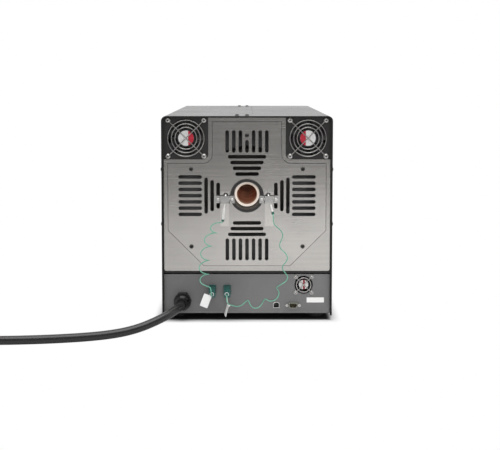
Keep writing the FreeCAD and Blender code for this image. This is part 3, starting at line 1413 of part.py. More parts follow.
NODES = {
    "base_pan": base_pan(),
    "divider_shelf": divider_shelf(),
    "left_cover": left_cover(),
    "right_cover": right_cover(),
    "feet": feet(),
    "cover_screws": cover_screws(),
    "rear_chassis_panel": chassis_panel(True),
    "rear_steel_panel": rear_steel_panel(),
    "rear_vent_plate": rear_vent_plate(),
    "panel_screws": panel_screws(),
    "connector_panel": connector_panel(),
    "front_chassis_panel": front(chassis_panel(False)),
    "front_vent_plate": front_vent_plate(),
    "control_panel": control_panel(),
    "furnace_tube": furnace_tube(),
    "tube_collars": tube_collars(),
    "heater_shells": heater_shells(),
    "insulation_shells": insulation_shells(),
    "furnace_drum": furnace_drum(),
    "drum_cradles": drum_cradles(),
    "small_fan_frame": fan_frame(SMALL_FAN_X, SMALL_FAN_Z, **small),
    "small_fan_rotor": fan_rotor(SMALL_FAN_X, SMALL_FAN_Z, SMALL_FAN_DEPTH, SMALL_FAN_BORE_R,
                                 SMALL_FAN_HUB_R, CONNECTOR_IN),
    "small_fan_guard": fan_guard(SMALL_FAN_X, SMALL_FAN_Z, SMALL_FAN_PITCH, SMALL_FAN_RINGS, SMALL_FAN_WIRE_R,
                                 SMALL_FAN_EYE_R, CONNECTOR_D),
    "fan_screws": Part.makeCompound(large_screws + small_screws),
    "left_probe": probe(-1, LEFT_LEAN),
    "right_probe": probe(1, RIGHT_LEAN),
    "probe_boots": probe_boots(),
    "probe_plates": probe_plates(),
    "probe_straps": probe_straps(),
    "strap_screws": strap_screws(),
    "probe_sockets": probe_sockets(),
    "left_plug": probe_plug(SOCKET_X[0]),
    "right_plug": probe_plug(SOCKET_X[1]),
    "left_lead": left_lead(),
    "right_lead": right_lead(),
    "cable_tags": cable_tags(),
    "tag_ties": tag_ties(),
    "usb_socket": usb_socket(),
    "serial_socket": serial_socket(),
    "serial_posts": serial_posts(),
    "gland_body": gland_body(),
    "gland_nut": gland_nut(),
    "mains_cord": mains_cord(),
    "mains_coil": mains_coil(),
    "mains_tie": mains_tie(),
    "mains_plug": mains_plug(),
    "display_window": display_window(),
    "switch_frame": switch_frame(),
    "switch_rocker": switch_rocker(),
    "control_board": control_board(),
    "power_supply": power_supply(),
}
for side, name in ((-1, "left"), (1, "right")):
    NODES[name + "_fan_frame"] = fan_frame(side * FAN_X, FAN_Z, **large)
    NODES[name + "_fan_rotor"] = fan_rotor(side * FAN_X, FAN_Z, FAN_DEPTH, FAN_BORE_R, FAN_HUB_R, CHASSIS_IN)
    NODES[name + "_fan_guard"] = fan_guard(side * FAN_X, FAN_Z, FAN_PITCH, FAN_RINGS, FAN_WIRE_R,
                                           FAN_EYE_R, CHASSIS_D)
for name, x in KEYS:
    NODES[name] = key(x)

os.makedirs("parts", exist_ok=True)
for name, shape in NODES.items():
    shape.exportStep("parts/%s.step" % name)
print(len(NODES), "nodes")
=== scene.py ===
import math

import bmesh
import bpy
from bpy.props import FloatProperty, FloatVectorProperty, IntProperty, PointerProperty
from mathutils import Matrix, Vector


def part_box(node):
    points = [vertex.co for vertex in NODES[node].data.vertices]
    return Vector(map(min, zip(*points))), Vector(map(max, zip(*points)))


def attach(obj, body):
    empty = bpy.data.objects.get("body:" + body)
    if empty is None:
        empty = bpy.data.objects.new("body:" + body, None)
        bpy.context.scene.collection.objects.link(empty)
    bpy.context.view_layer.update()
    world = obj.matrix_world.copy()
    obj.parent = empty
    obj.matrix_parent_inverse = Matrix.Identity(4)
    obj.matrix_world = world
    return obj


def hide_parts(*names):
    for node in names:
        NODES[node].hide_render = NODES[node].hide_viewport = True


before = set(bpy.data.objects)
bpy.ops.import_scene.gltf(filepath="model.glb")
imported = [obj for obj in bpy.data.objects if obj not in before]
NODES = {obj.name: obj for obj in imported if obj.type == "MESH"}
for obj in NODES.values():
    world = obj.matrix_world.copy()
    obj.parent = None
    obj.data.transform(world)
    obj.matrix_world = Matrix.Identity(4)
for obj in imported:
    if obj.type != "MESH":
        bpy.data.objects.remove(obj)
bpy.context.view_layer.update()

bl_info = {
    "name": "Tube furnace dressing",
    "version": (1, 0, 0),
    "blender": (4, 5, 0),
    "location": "View3D > Sidebar > Furnace",
    "description": "Finishes, leads, labels and stage for a benchtop tube furnace",
    "category": "Object",
}

HOUSING = "housing"
MM = 0.001
TO_REAR, TO_FRONT, UPWARDS = (0.0, -1.0, 0.0), (0.0, 1.0, 0.0), (0.0, 0.0, 1.0)

# Places taken from the frame, in metres

COVER_LOW, COVER_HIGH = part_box("left_cover")
REAR, FRONT = COVER_LOW.y, COVER_HIGH.y
TUBE_LOW, TUBE_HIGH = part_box("furnace_tube")
TUBE_Z = (TUBE_LOW.z + TUBE_HIGH.z) / 2


def at(x, d, z):
    """Point in metres from millimetres across, behind the service side's rim, and up."""
    return Vector((x * MM, REAR + d * MM, z * MM))


def behind_rim(y):
    """Millimetres from the service side's rim to a place along the depth."""
    return (y - REAR) / MM


def middle(node):
    low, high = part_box(node)
    return (low + high) / 2


# Routes of the leads, in millimetres

LEFT_START = ((-48.37, -6.66, 200.68), (-48.57, -7.02, 198.93))
LEFT_AXIS = ((-54.5, -9.0, 199.5), (-82.0, -12.0, 173.3), (-90.5, -18.0, 113.6), (-82.0, -30.0, 83.0))
LEFT_TAIL = (
    (-74.8, -44.5, 79.2), (-70.8, -49.6, 78.4), (-69.5, -51.2, 71.5), (-69.3, -48.0, 64.4),
    (-69.3, -42.0, 60.4), (-69.3, -37.0, 60.0), (-69.3, -35.0, 60.0),
)
RIGHT_ROUTE = (
    (50.9, -30.96, 219.93), (51.09, -32.59, 219.19), (51.2, -35.6, 216.5), (51.0, -36.8, 210.3),
    (51.6, -36.2, 203.0), (57.5, -34.5, 195.3), (65.5, -30.5, 188.7), (70.6, -25.5, 179.5),
    (69.0, -20.0, 168.3), (64.5, -15.0, 158.6), (65.0, -11.0, 149.3), (71.0, -9.5, 142.9),
    (77.7, -12.0, 137.0), (80.9, -16.0, 129.9), (77.2, -17.5, 121.9), (70.8, -14.0, 114.6),
    (69.8, -10.0, 106.2), (75.2, -9.5, 99.3), (82.0, -13.0, 91.0), (77.0, -17.0, 82.5),
    (66.4, -20.0, 77.0), (56.8, -14.0, 69.8), (64.6, -9.5, 60.5), (61.5, -13.5, 49.5),
    (53.0, -19.0, 44.6), (43.5, -22.0, 44.0), (35.6, -16.0, 49.0), (31.2, -9.5, 38.5),
    (25.0, -13.0, 29.8), (14.5, -19.0, 28.6), (6.8, -23.0, 36.0), (2.4, -17.0, 46.6),
    (-5.5, -11.5, 38.0), (-12.5, -17.0, 33.6), (-20.0, -25.0, 34.4), (-27.6, -32.0, 38.4),
    (-33.6, -39.0, 42.0), (-38.5, -43.0, 46.0), (-39.4, -47.1, 53.0), (-39.7, -43.0, 60.0),
    (-39.7, -35.0, 60.0),
)
CORD_ROUTE = (
    (-129.0, -2.0, 39.0), (-129.0, -25.0, 39.0), (-132.2, -46.5, 38.3), (-141.6, -67.0, 36.0),
    (-157.0, -84.5, 31.0), (-177.0, -98.0, 24.4), (-201.0, -109.5, 17.2), (-228.0, -120.5, 12.6),
    (-257.0, -131.0, 10.6), (-291.0, -141.0, 9.9), (-331.0, -150.0, 9.9), (-376.0, -157.0, 9.9),
    (-425.0, -161.5, 9.9), (-478.0, -163.0, 9.9), (-530.0, -163.0, 9.9),
)
CORD_X, CORD_D, CORD_Z = CORD_ROUTE[-1]

# Points on one turn of the curly lead, and the first of them that is used

CURL_POINTS, CURL_FIRST = 12, 3

# Coil of the mains lead, in millimetres and turns, with the points on one turn and the runs at its ends

COIL_X = -590.0
COIL_OUTER = 101.0
COIL_STEP = 20.0
COIL_LAYER = 17.2
COIL_IN, COIL_CLIMB, COIL_OUT = 1.0, 0.5, 0.75
COIL_POINTS = 16
COIL_APPROACH = 17.0
TAIL_RUN, TAIL_DROP = 46.0, 26.0

# Slotted plate: half its neck, height and bend of its shoulders, cut of its lower corners, in millimetres

PLATE_NECK, PLATE_SHOULDER, PLATE_BEND, PLATE_CUT = 68.3, 315.3, 19.5, 71.0
# Thickness of the dark strip that paints the shadow line round the slotted plate, in millimetres
SHADOW_LINE_STOCK = 0.4

# Fan guards: radii of the rings and of the wire in millimetres, and a weld's depth in wire radii

LARGE_GUARD, SMALL_GUARD = ((36.0, 28.7, 21.7), 1.0), ((14.5,), 0.8)
GUARDS = {"left": LARGE_GUARD, "right": LARGE_GUARD, "small": SMALL_GUARD}
BEAD_SET = 1.7

# Screws, in millimetres; a recess's middle is proud of a pan head's top and sunk below a cover screw's

FAN_PITCH, SMALL_FAN_PITCH = 71.5, 32.0
FAN_HEADS = behind_rim(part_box("fan_screws")[0].y)
SMALL_FAN_HEADS = 4.5
VENT_SCREWS = ((-111.0, 304.4), (111.0, 304.4), (-111.0, 149.0), (111.0, 149.0))
TOP_VENT_SCREW = (0.0, 371.6)
REAR_HEADS, FRONT_HEADS = (behind_rim(corner.y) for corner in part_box("panel_screws"))
SIDE_SCREW_D, SIDE_SCREW_Z = (14.0, 586.0), (303.0, 193.0)
TOP_SCREW_D, TOP_SCREW_X = (31.0, 569.0), (-20.0, 0.0)
SIDE_HEADS, TOP_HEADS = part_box("cover_screws")[1].x / MM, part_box("cover_screws")[1].z / MM
RECESS_PROUD, RECESS_SUNK, RECESS_STOCK = 0.04, 0.12, 0.2
RECESS_BAR = 0.24

# Connectors and the blank label, in millimetres

USB_OPENING, SERIAL_OPENING = (5.7, 5.1), (8.6, 4.7)
SHELL_LIP = 0.4
PIN_PITCH, PIN_ROW, PIN_RADIUS, PIN_LENGTH, PIN_SET = 2.77, 1.42, 0.56, 5.6, 3.6
BLANK_PLACE, BLANK_HALF, BLANK_CORNER = (137.4, 8.0, 39.2), (17.4, 5.1), 0.8

# Tube: radius of its bore, and how far the pale mouth and its painted glow reach in, in metres

BORE_RADIUS = 0.020
MOUTH_REACH = 0.030

# Stage, in metres, degrees and watts; a turn is where one tone passes into the next

CAMERA_LENS, CAMERA_SENSOR = 60.95, 36.0
CAMERA_SHIFT = (0.006, -0.1773)
CAMERA_BACK, CAMERA_HEIGHT, CAMERA_TILT = 1.66939, 0.48662, 4.0
LAMPS = {
    "softbox": {
        "place": (0.0, -1.1, 3.2), "aim": (0.0, -0.3, 0.0), "size": 3.0, "power": 83.0, "mirrored": True},
    "front": {
        "place": (0.15, -3.2, 0.75), "aim": (0.0, 0.0, 0.25), "size": 0.8, "power": 30.0, "mirrored": False},
}
FLOOR_OUTLINE = ((-6.0, -1.65), (-0.3, -1.65), (0.3, -1.95), (6.0, -1.95), (6.0, 8.0), (-6.0, 8.0))
# Floor tones: painted shade makes the floor darker to the left and lighter to the right
FLOOR_SHADED_LEFT, FLOOR_LIT_RIGHT, FLOOR_SHADE_TURN = 0.73, 0.95, (-0.25, 0.08)
# Painted shadow under the object: its tone, and the soft edge round the footprint
PAINTED_SHADOW_TONE, PAINTED_SHADOW_EDGE = 0.02, (-0.010, 0.004)
WHITE_REACH = 0.022
WALL_TURN, WALL_AHEAD, WALL_BEHIND = (-0.75, 0.15), 0.25, 1.0
WORLD_DIFFUSE, WORLD_SEEN = 0.31, 1.0


# User settings


def length(name, words, default):
    return FloatProperty(name=name, description=words, default=default, unit="LENGTH")


def colour(name, words, default):
    return FloatVectorProperty(name=name, description=words, default=default, subtype="COLOR", size=3,
                               min=0.0, max=1.0)


class FurnaceSizes(bpy.types.PropertyGroup):
    """Sizes of the pieces that dress the furnace"""

    lead_radius: length("Lead radius", "Radius of a probe lead", 0.001)
    curls: FloatProperty(name="Curls", description="Turns of the curly lead", default=4.75)
    curl_radius: length("Curl radius", "Radius of a curl", 0.0095)
    curl_depth: length("Curl depth", "Half depth of a curl", 0.008)
    curl_lift: length("Curl lift", "Rise of a curl's far side", 0.003)
    # Painted shadow: width of the dark strip round the slotted plate
    shadow_line_width: length("Seal", "Seal seen round the slotted plate", 0.0009)
    cord_radius: length("Cord radius", "Radius of the mains lead", 0.00825)
    fan_label: length("Fan label", "Radius of a large fan's label", 0.0153)
    small_label: length("Small label", "Radius of the small fan's label", 0.0094)
    label_stock: length("Label stock", "Thickness of label film", 0.0002)
    recess_m4: length("Recess", "Length of a cross recess's arm", 0.0046)
    recess_m3: length("Small recess", "The same on small screws", 0.0031)
    bead: length("Weld bead", "Radius of a guard's weld", 0.00115)
    pins: IntProperty(name="Pins", description="Contacts of the serial socket's wide row", default=5)


class FurnaceColours(bpy.types.PropertyGroup):
    """Base colours of the finishes"""

    cover: colour("Cover", "Powder coat of the covers", (0.024, 0.023, 0.022))
    chassis: colour("Chassis", "Paint of the end frames", (0.015, 0.014, 0.0135))
    panel: colour("Panel", "Paint of the connector panel", (0.155, 0.153, 0.153))
    steel: colour("Steel", "Brushed end plates", (0.567, 0.547, 0.524))
    zinc: colour("Zinc", "Dull plating inside", (0.27, 0.27, 0.27))
    # Painted shade: the drum's colour is darkened to stand for the shade seen through the slots
    scale: colour("Scale", "Heat scale on the drum", (0.08, 0.074, 0.070))
    bright: colour("Bright", "Plated screws and probes", (0.80, 0.79, 0.77))
    wire: colour("Wire", "Guards of the fans", (0.46, 0.45, 0.435))
    dark_screw: colour("Dark screw", "Blackened screws", (0.08, 0.078, 0.074))
    # Painted shade: the dark colour of the cross recesses stands for the shade in their hollows
    recess: colour("Recess", "Cross recesses of the screws", (0.03, 0.03, 0.03))
    black: colour("Black", "Moulded fans and glands", (0.0135, 0.0135, 0.014))
    cord: colour("Cord", "Rubber of the mains lead", (0.015, 0.015, 0.015))
    lead: colour("Lead", "Probe leads", (0.155, 0.415, 0.30))
    plug: colour("Plug", "Probe plugs", (0.002, 0.080, 0.068))
    boot: colour("Boot", "Boots on the probes", (0.008, 0.080, 0.057))
    alumina: colour("Alumina", "Furnace tube", (0.93, 0.90, 0.85))
    stain: colour("Stain", "Fired bore of the tube", (0.95, 0.47, 0.30))
    fibre: colour("Fibre", "Insulation", (0.80, 0.78, 0.72))
    paper: colour("Paper", "Tags and labels", (0.86, 0.86, 0.85))
    red: colour("Red", "Label segment", (0.40, 0.016, 0.035))
    serial: colour("Serial", "Shell of the serial socket", (0.36, 0.36, 0.30))
    serial_insert: colour("Serial insert", "Insert of the serial socket", (0.016, 0.017, 0.013))
    usb_insert: colour("USB insert", "Insert of the square socket", (0.012, 0.012, 0.012))
    gold: colour("Gold", "Contact pins", (0.40, 0.32, 0.16))
    lens: colour("Lens", "Display lens", (0.010, 0.013, 0.016))
    key: colour("Key", "Key caps", (0.32, 0.325, 0.33))


def sizes():
    return bpy.context.scene.furnace_sizes


def colours():
    return bpy.context.scene.furnace_colours


# Shader tools


class Value:
    """A socket in a finish; arithmetic on it adds Math nodes."""

    def __init__(self, finish, socket):
        self.finish = finish
        self.socket = socket

    def math(self, operation, *terms):
        return self.finish.node("ShaderNodeMath", {"operation": operation}, dict(enumerate(terms)))

    def __add__(self, other):
        return self.math("ADD", self, other)

    def __radd__(self, other):
        return self.math("ADD", other, self)

    def __sub__(self, other):
        return self.math("SUBTRACT", self, other)

    def __rsub__(self, other):
        return self.math("SUBTRACT", other, self)

    def __mul__(self, other):
        return self.math("MULTIPLY", self, other)

    def __truediv__(self, other):
        return self.math("DIVIDE", self, other)

    def __abs__(self):
        return self.math("ABSOLUTE", self)

    def root(self):
        return self.math("SQRT", self)

    def over(self, other):
        """The larger of two values."""
        return self.math("MAXIMUM", self, other)

    def under(self, other):
        """The smaller of two values."""
        return self.math("MINIMUM", self, other)

    def rise(self, start, end):
        """Soft step from 0 at start to 1 at end."""
        return self.finish.node("ShaderNodeMapRange", {"interpolation_type": "SMOOTHSTEP"},
                                {"Value": self, "From Min": start, "From Max": end})


class Finish:
    """A procedural material on one Principled shader."""

    def __init__(self, name, **constants):
        self.material = bpy.data.materials.new(name)
        self.material.use_nodes = True
        self.tree = self.material.node_tree
        self.shader = next(n for n in self.tree.nodes if n.type == "BSDF_PRINCIPLED")
        for socket, value in constants.items():
            self.join(value, self.shader.inputs[socket.replace("_", " ")])
        self.place = self.node("ShaderNodeTexCoord", output="Object")

    def join(self, value, socket):
        if isinstance(value, Value):
            self.tree.links.new(value.socket, socket)
        elif socket.type == "RGBA" and len(value) == 3:
            socket.default_value = (*value, 1.0)
        else:
            socket.default_value = value

    def node(self, kind, settings=None, inputs=None, output=0):
        made = self.tree.nodes.new(kind)
        for key, value in (settings or {}).items():
            setattr(made, key, value)
        for key, value in (inputs or {}).items():
            self.join(value, made.inputs[key])
        return Value(self, made.outputs[output])

    def feed(self, socket, value):
        self.join(value, self.shader.inputs[socket])

    def axes(self):
        """Object coordinates as three values."""
        split = self.node("ShaderNodeSeparateXYZ", inputs={0: self.place})
        return [Value(self, output) for output in split.socket.node.outputs]

    def noise(self, scale, detail=3.0, stretch=None):
        where = self.place
        if stretch:
            where = self.node("ShaderNodeMapping", inputs={"Vector": self.place, "Scale": stretch})
        return self.node("ShaderNodeTexNoise", inputs={"Vector": where, "Scale": scale, "Detail": detail})

    def mix(self, factor, first, second):
        """Blend of two colours."""
        made = self.tree.nodes.new("ShaderNodeMix")
        made.data_type = "RGBA"
        self.join(factor, made.inputs[0])
        self.join(first, made.inputs[6])
        self.join(second, made.inputs[7])
        return Value(self, made.outputs[2])

    def bump(self, height, strength, distance):
        relief = {"Height": height, "Strength": strength, "Distance": distance}
        self.feed("Normal", self.node("ShaderNodeBump", inputs=relief))


def shade(base, factor):
    return tuple(min(1.0, part * factor) for part in base)


def grey(level):
    return (level, level, level)


# Finishes


def powder_coat(name, base, roughness, rim=False):
    """Textured paint on folded sheet, with handling marks and, if asked, rougher edges at both ends whose
    colour is darkened with painted shade.
    """
    finish = Finish(name, Specular_IOR_Level=0.5)
    grainy = finish.noise(1400.0, 2.0)
    cloudy = finish.noise(7.0, 4.0)
    rub = finish.noise(38.0, 5.0, (1.0, 1.0, 0.25)).rise(0.58, 0.78)
    tone = cloudy * 0.7 + grainy * 0.3
    body = finish.mix(tone.rise(0.3, 0.7), shade(base, 0.86), shade(base, 1.14))
    painted = finish.mix(rub * 0.15, body, shade(base, 1.9))
    gloss = roughness + (cloudy - 0.5) * 0.16 - rub * 0.06
    if rim:
        y = finish.axes()[1]
        # Painted shade: the cover's colour goes nearly black near its front and rear edges.
        cut = 1.0 - (y - REAR).under(FRONT - y).rise(0.0002, 0.0012)
        painted = finish.mix(cut, painted, shade(base, 0.15))
        gloss = gloss + cut * 0.45
    finish.feed("Base Color", painted)
    finish.feed("Roughness", gloss)
    finish.bump(grainy, 0.12, 0.0002)
    return finish.material


def brushed_steel(name, base, roughness, along):
    """Sheet metal with fine lines along one axis and soft smudges."""
    finish = Finish(name, Metallic=1.0)
    stretch = [900.0, 900.0, 900.0]
    stretch[along] = 7.0
    lines = finish.noise(1.0, 3.0, stretch)
    broad = finish.noise(0.22, 2.0, stretch)
    smudge = finish.noise(9.0, 4.0).rise(0.45, 0.75)
    tone = lines * 0.55 + broad * 0.45
    body = finish.mix(tone.rise(0.25, 0.75), shade(base, 0.93), shade(base, 1.06))
    finish.feed("Base Color", finish.mix(smudge * 0.16, body, shade(base, 0.82)))
    finish.feed("Roughness", roughness + (lines - 0.5) * 0.14 + smudge * 0.05)
    finish.bump(lines, 0.10, 0.00008)
    return finish.material


def plated(name, base, roughness, metal=1.0):
    """Bright plating with slight tarnish."""
    finish = Finish(name, Metallic=metal)
    tarnish = finish.noise(160.0, 4.0)
    finish.feed("Base Color", finish.mix(tarnish.rise(0.4, 0.8), base, shade(base, 0.72)))
    finish.feed("Roughness", roughness + tarnish * 0.12)
    finish.bump(finish.noise(900.0, 2.0), 0.05, 0.0001)
    return finish.material


def moulded(name, base, roughness, grain=900.0, coat=0.0, specular=0.5, dusty=0.05):
    """Injection-moulded plastic with a spark-eroded grain and a little dust."""
    finish = Finish(name, Coat_Weight=coat, Specular_IOR_Level=specular)
    grainy = finish.noise(grain, 2.0)
    cloudy = finish.noise(24.0, 3.0)
    dust = finish.noise(210.0, 5.0).rise(0.62, 0.82)
    body = finish.mix(cloudy.rise(0.3, 0.7), shade(base, 0.85), shade(base, 1.18))
    finish.feed("Base Color", finish.mix(dust * dusty, body, (0.34, 0.33, 0.31)))
    finish.feed("Roughness", roughness + (grainy - 0.5) * 0.14 + dust * 0.12)
    finish.bump(grainy, 0.10, 0.00015)
    return finish.material


def jacket(name, base, roughness):
    """Extruded jacket of a lead: faint drawing marks and scuffs."""
    finish = Finish(name)
    scuff = finish.noise(55.0, 5.0).rise(0.52, 0.8)
    fine = finish.noise(1500.0, 2.0)
    finish.feed("Base Color", finish.mix(scuff * 0.35, base, shade(base, 1.7)))
    finish.feed("Roughness", roughness + scuff * 0.14 + (fine - 0.5) * 0.1)
    finish.bump(fine, 0.12, 0.0001)
    return finish.material


def fired_tube(name, base, stain):
    """White ceramic whose bore is stained by heat; its mouth and bore glow with painted light, dimmed at the
    top of the ring with painted shade.
    """
    finish = Finish(name, Roughness=0.6, Emission_Strength=0.35)
    x, y, z = finish.axes()
    rise = z - TUBE_Z
    radius = (x * x + rise * rise).root()
    depth = (y - TUBE_LOW.y).under(TUBE_HIGH.y - y)
    speck = finish.noise(420.0, 4.0)
    cloudy = finish.noise(36.0, 4.0)
    inside = 1.0 - radius.rise(BORE_RADIUS + 0.0001, BORE_RADIUS + 0.0012)
    mouth = 1.0 - depth.rise(0.0, MOUTH_REACH)
    scorched = finish.mix(cloudy.rise(0.3, 0.7), shade(stain, 0.72), shade(stain, 1.3))
    bore = finish.mix(mouth * 0.9, scorched, (0.95, 0.80, 0.70))
    clean = finish.mix(speck.rise(0.35, 0.7), base, shade(base, 0.9))
    edge = radius.rise(BORE_RADIUS + 0.0005, BORE_RADIUS + 0.0035)
    rim = finish.mix(edge, (0.93, 0.72, 0.55), clean)
    finish.feed("Base Color", finish.mix(inside, rim, bore))
    # Painted light: a warm glow at the mouth, dimmed towards the top of the ring as painted shade.
    lower = 1.0 - rise.rise(-0.004, 0.024) * 0.75
    painted_mouth_light = finish.mix(mouth * lower, grey(0.0), (1.0, 0.84, 0.70))
    # Painted light: a faint glow inside the bore stands for light bounced into it.
    finish.feed("Emission Color", finish.mix(inside, painted_mouth_light, shade(stain, 0.008)))
    finish.bump(speck, 0.18, 0.0002)
    return finish.material


def fibre_board(name, base):
    """Rigid ceramic fibre with a matted surface."""
    finish = Finish(name, Roughness=0.95)
    strands = finish.noise(260.0, 6.0, (1.0, 0.25, 1.0))
    finish.feed("Base Color", finish.mix(strands.rise(0.3, 0.75), shade(base, 0.8), base))
    finish.bump(strands, 0.5, 0.0008)
    return finish.material


def card(name, base):
    """Plain tag stock with soft fibres and soiled patches."""
    finish = Finish(name, Roughness=0.75)
    fibres = finish.noise(700.0, 4.0)
    soil = finish.noise(60.0, 4.0).rise(0.55, 0.8)
    clean = finish.mix(fibres, base, shade(base, 0.92))
    finish.feed("Base Color", finish.mix(soil * 0.22, clean, shade(base, 0.78)))
    finish.bump(fibres, 0.08, 0.0001)
    return finish.material


def two_tone_label(name, centre, start, end, base, second):
    """Label film with one coloured band between two places across it."""
    finish = Finish(name, Roughness=0.38)
    across = finish.axes()[0] - centre
    blur = 0.0002
    band = across.rise(start - blur, start + blur) * (1.0 - across.rise(end - blur, end + blur))
    worn = finish.noise(260.0, 5.0)
    plain = finish.mix(worn.rise(0.35, 0.8), base, shade(base, 0.78))
    ink = finish.mix(worn.rise(0.45, 0.85), second, shade(second, 1.7))
    finish.feed("Base Color", finish.mix(band, plain, ink))
    finish.bump(worn, 0.05, 0.0001)
    return finish.material


def shell_with_insert(name, node, opening, base, insert, metal):
    """Shell of a socket round a dark moulded insert, which fills the opening behind the shell's lip."""
    finish = Finish(name)
    x, y, z = finish.axes()
    centre = middle(node)
    half_x, half_z = (half * MM for half in opening)
    from_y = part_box(node)[0].y + SHELL_LIP * MM
    reach = (abs(x - centre.x) / half_x).over(abs(z - centre.z) / half_z)
    inner = (1.0 - reach.rise(0.97, 1.0)) * y.rise(from_y, from_y + 0.0003)
    tarnish = finish.noise(300.0, 4.0)
    body = finish.mix(tarnish, base, shade(base, 0.75))
    finish.feed("Base Color", finish.mix(inner, body, insert))
    finish.feed("Metallic", (1.0 - inner) * metal)
    finish.feed("Roughness", 0.24 + inner * 0.24 + tarnish * 0.1)
    finish.bump(finish.noise(1200.0, 2.0), 0.06, 0.0001)
    return finish.material


def circuit_board(name):
    """Solder mask with a faint track pattern."""
    finish = Finish(name, Roughness=0.4)
    tracks = finish.node("ShaderNodeTexBrick", {"offset": 0.5}, {
        "Vector": finish.place, "Scale": 60.0, "Mortar Size": 0.06, "Color1": (0.012, 0.10, 0.045),
        "Color2": (0.015, 0.13, 0.06), "Mortar": (0.05, 0.22, 0.10)})
    finish.feed("Base Color", tracks)
    finish.bump(finish.noise(500.0, 2.0), 0.1, 0.0002)
    return finish.material


def smoked_lens(name, base):
    """Display lens over a paler field."""
    finish = Finish(name, Coat_Weight=0.6)
    x, _, z = finish.axes()
    low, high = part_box("display_window")
    centre, span = (low + high) / 2, high - low
    reach = (abs(x - centre.x) / (span.x * 0.40)).over(abs(z - centre.z) / (span.z * 0.30))
    field = 1.0 - reach.rise(0.96, 1.0)
    wave = finish.noise(900.0, 2.0)
    pale = finish.mix(wave, (0.07, 0.12, 0.10), (0.09, 0.15, 0.12))
    smear = finish.noise(40.0, 4.0)
    finish.feed("Base Color", finish.mix(field, base, pale))
    finish.feed("Roughness", 0.08 + smear * 0.12)
    return finish.material


# Piece tools


def dress(material, *names):
    """Gives CAD nodes a finish."""
    for name in names:
        for place in NODES[name].material_slots:
            place.material = material


def mesh_piece(name, build, material):
    """A mesh at the origin, filled by a function and carried by the housing."""
    mesh = bpy.data.meshes.new(name)
    bm = bmesh.new()
    build(bm)
    bmesh.ops.recalc_face_normals(bm, faces=bm.faces)
    bm.to_mesh(mesh)
    bm.free()
    mesh.materials.append(material)
    piece = bpy.data.objects.new(name, mesh)
    bpy.context.scene.collection.objects.link(piece)
    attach(piece, HOUSING)


def thicken(bm, faces, depth):
    """Raises faces along -Y into a plate."""
    grown = bmesh.ops.extrude_face_region(bm, geom=faces)
    moved = [part for part in grown["geom"] if isinstance(part, bmesh.types.BMVert)]
    bmesh.ops.translate(bm, verts=moved, vec=(0.0, -depth, 0.0))


def film(bm, points, depth):
    """Thin plate on a closed outline."""
    thicken(bm, [bm.faces.new([bm.verts.new(point) for point in points])], depth)


def around(radius, angle):
    """Offset at an angle in the plane of the service side."""
    return Vector((radius * math.cos(angle), 0.0, radius * math.sin(angle)))


def ring_points(centre, radius, count=64):
    return [centre + around(radius, 2 * math.pi * k / count) for k in range(count)]


def rounded_points(centre, half_x, half_z, radius, steps=6):
    points = []
    for corner, (side_x, side_z) in enumerate(((1, 1), (-1, 1), (-1, -1), (1, -1))):
        pivot = centre + Vector((side_x * (half_x - radius), 0.0, side_z * (half_z - radius)))
        points += [pivot + around(radius, math.pi / 2 * (corner + k / steps)) for k in range(steps + 1)]
    return points


def lead_curve(name, points, radius, material, steps):
    """Round lead on a smooth spline with the route's points, left out of the steel's reflections."""
    curve = bpy.data.curves.new(name, "CURVE")
    curve.dimensions = "3D"
    curve.bevel_depth = radius
    curve.bevel_resolution = 5
    curve.resolution_u = steps
    curve.use_fill_caps = True
    spline = curve.splines.new("NURBS")
    spline.points.add(len(points) - 1)
    for point, place in zip(spline.points, points):
        point.co = (*place, 1.0)
    spline.order_u = 3
    spline.use_endpoint_u = True
    curve.materials.append(material)
    piece = bpy.data.objects.new(name, curve)
    piece.visible_glossy = False
    bpy.context.scene.collection.objects.link(piece)
    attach(piece, HOUSING)
    return piece


def run_length(points, parts=8):
    """Length of the order-three spline on these points, by its quadratic spans."""
    joints = [points[0]] + [(a + b) / 2 for a, b in zip(points[1:-2], points[2:-1])] + [points[-1]]
    total = 0.0
    for start, bend, end in zip(joints, points[1:-1], joints[1:]):
        last = start
        for k in range(1, parts + 1):
            t = k / parts
            here = start * (1 - t) ** 2 + bend * (2 * t * (1 - t)) + end * t * t
            total += (here - last).length
            last = here
    return total


# Geometry Nodes


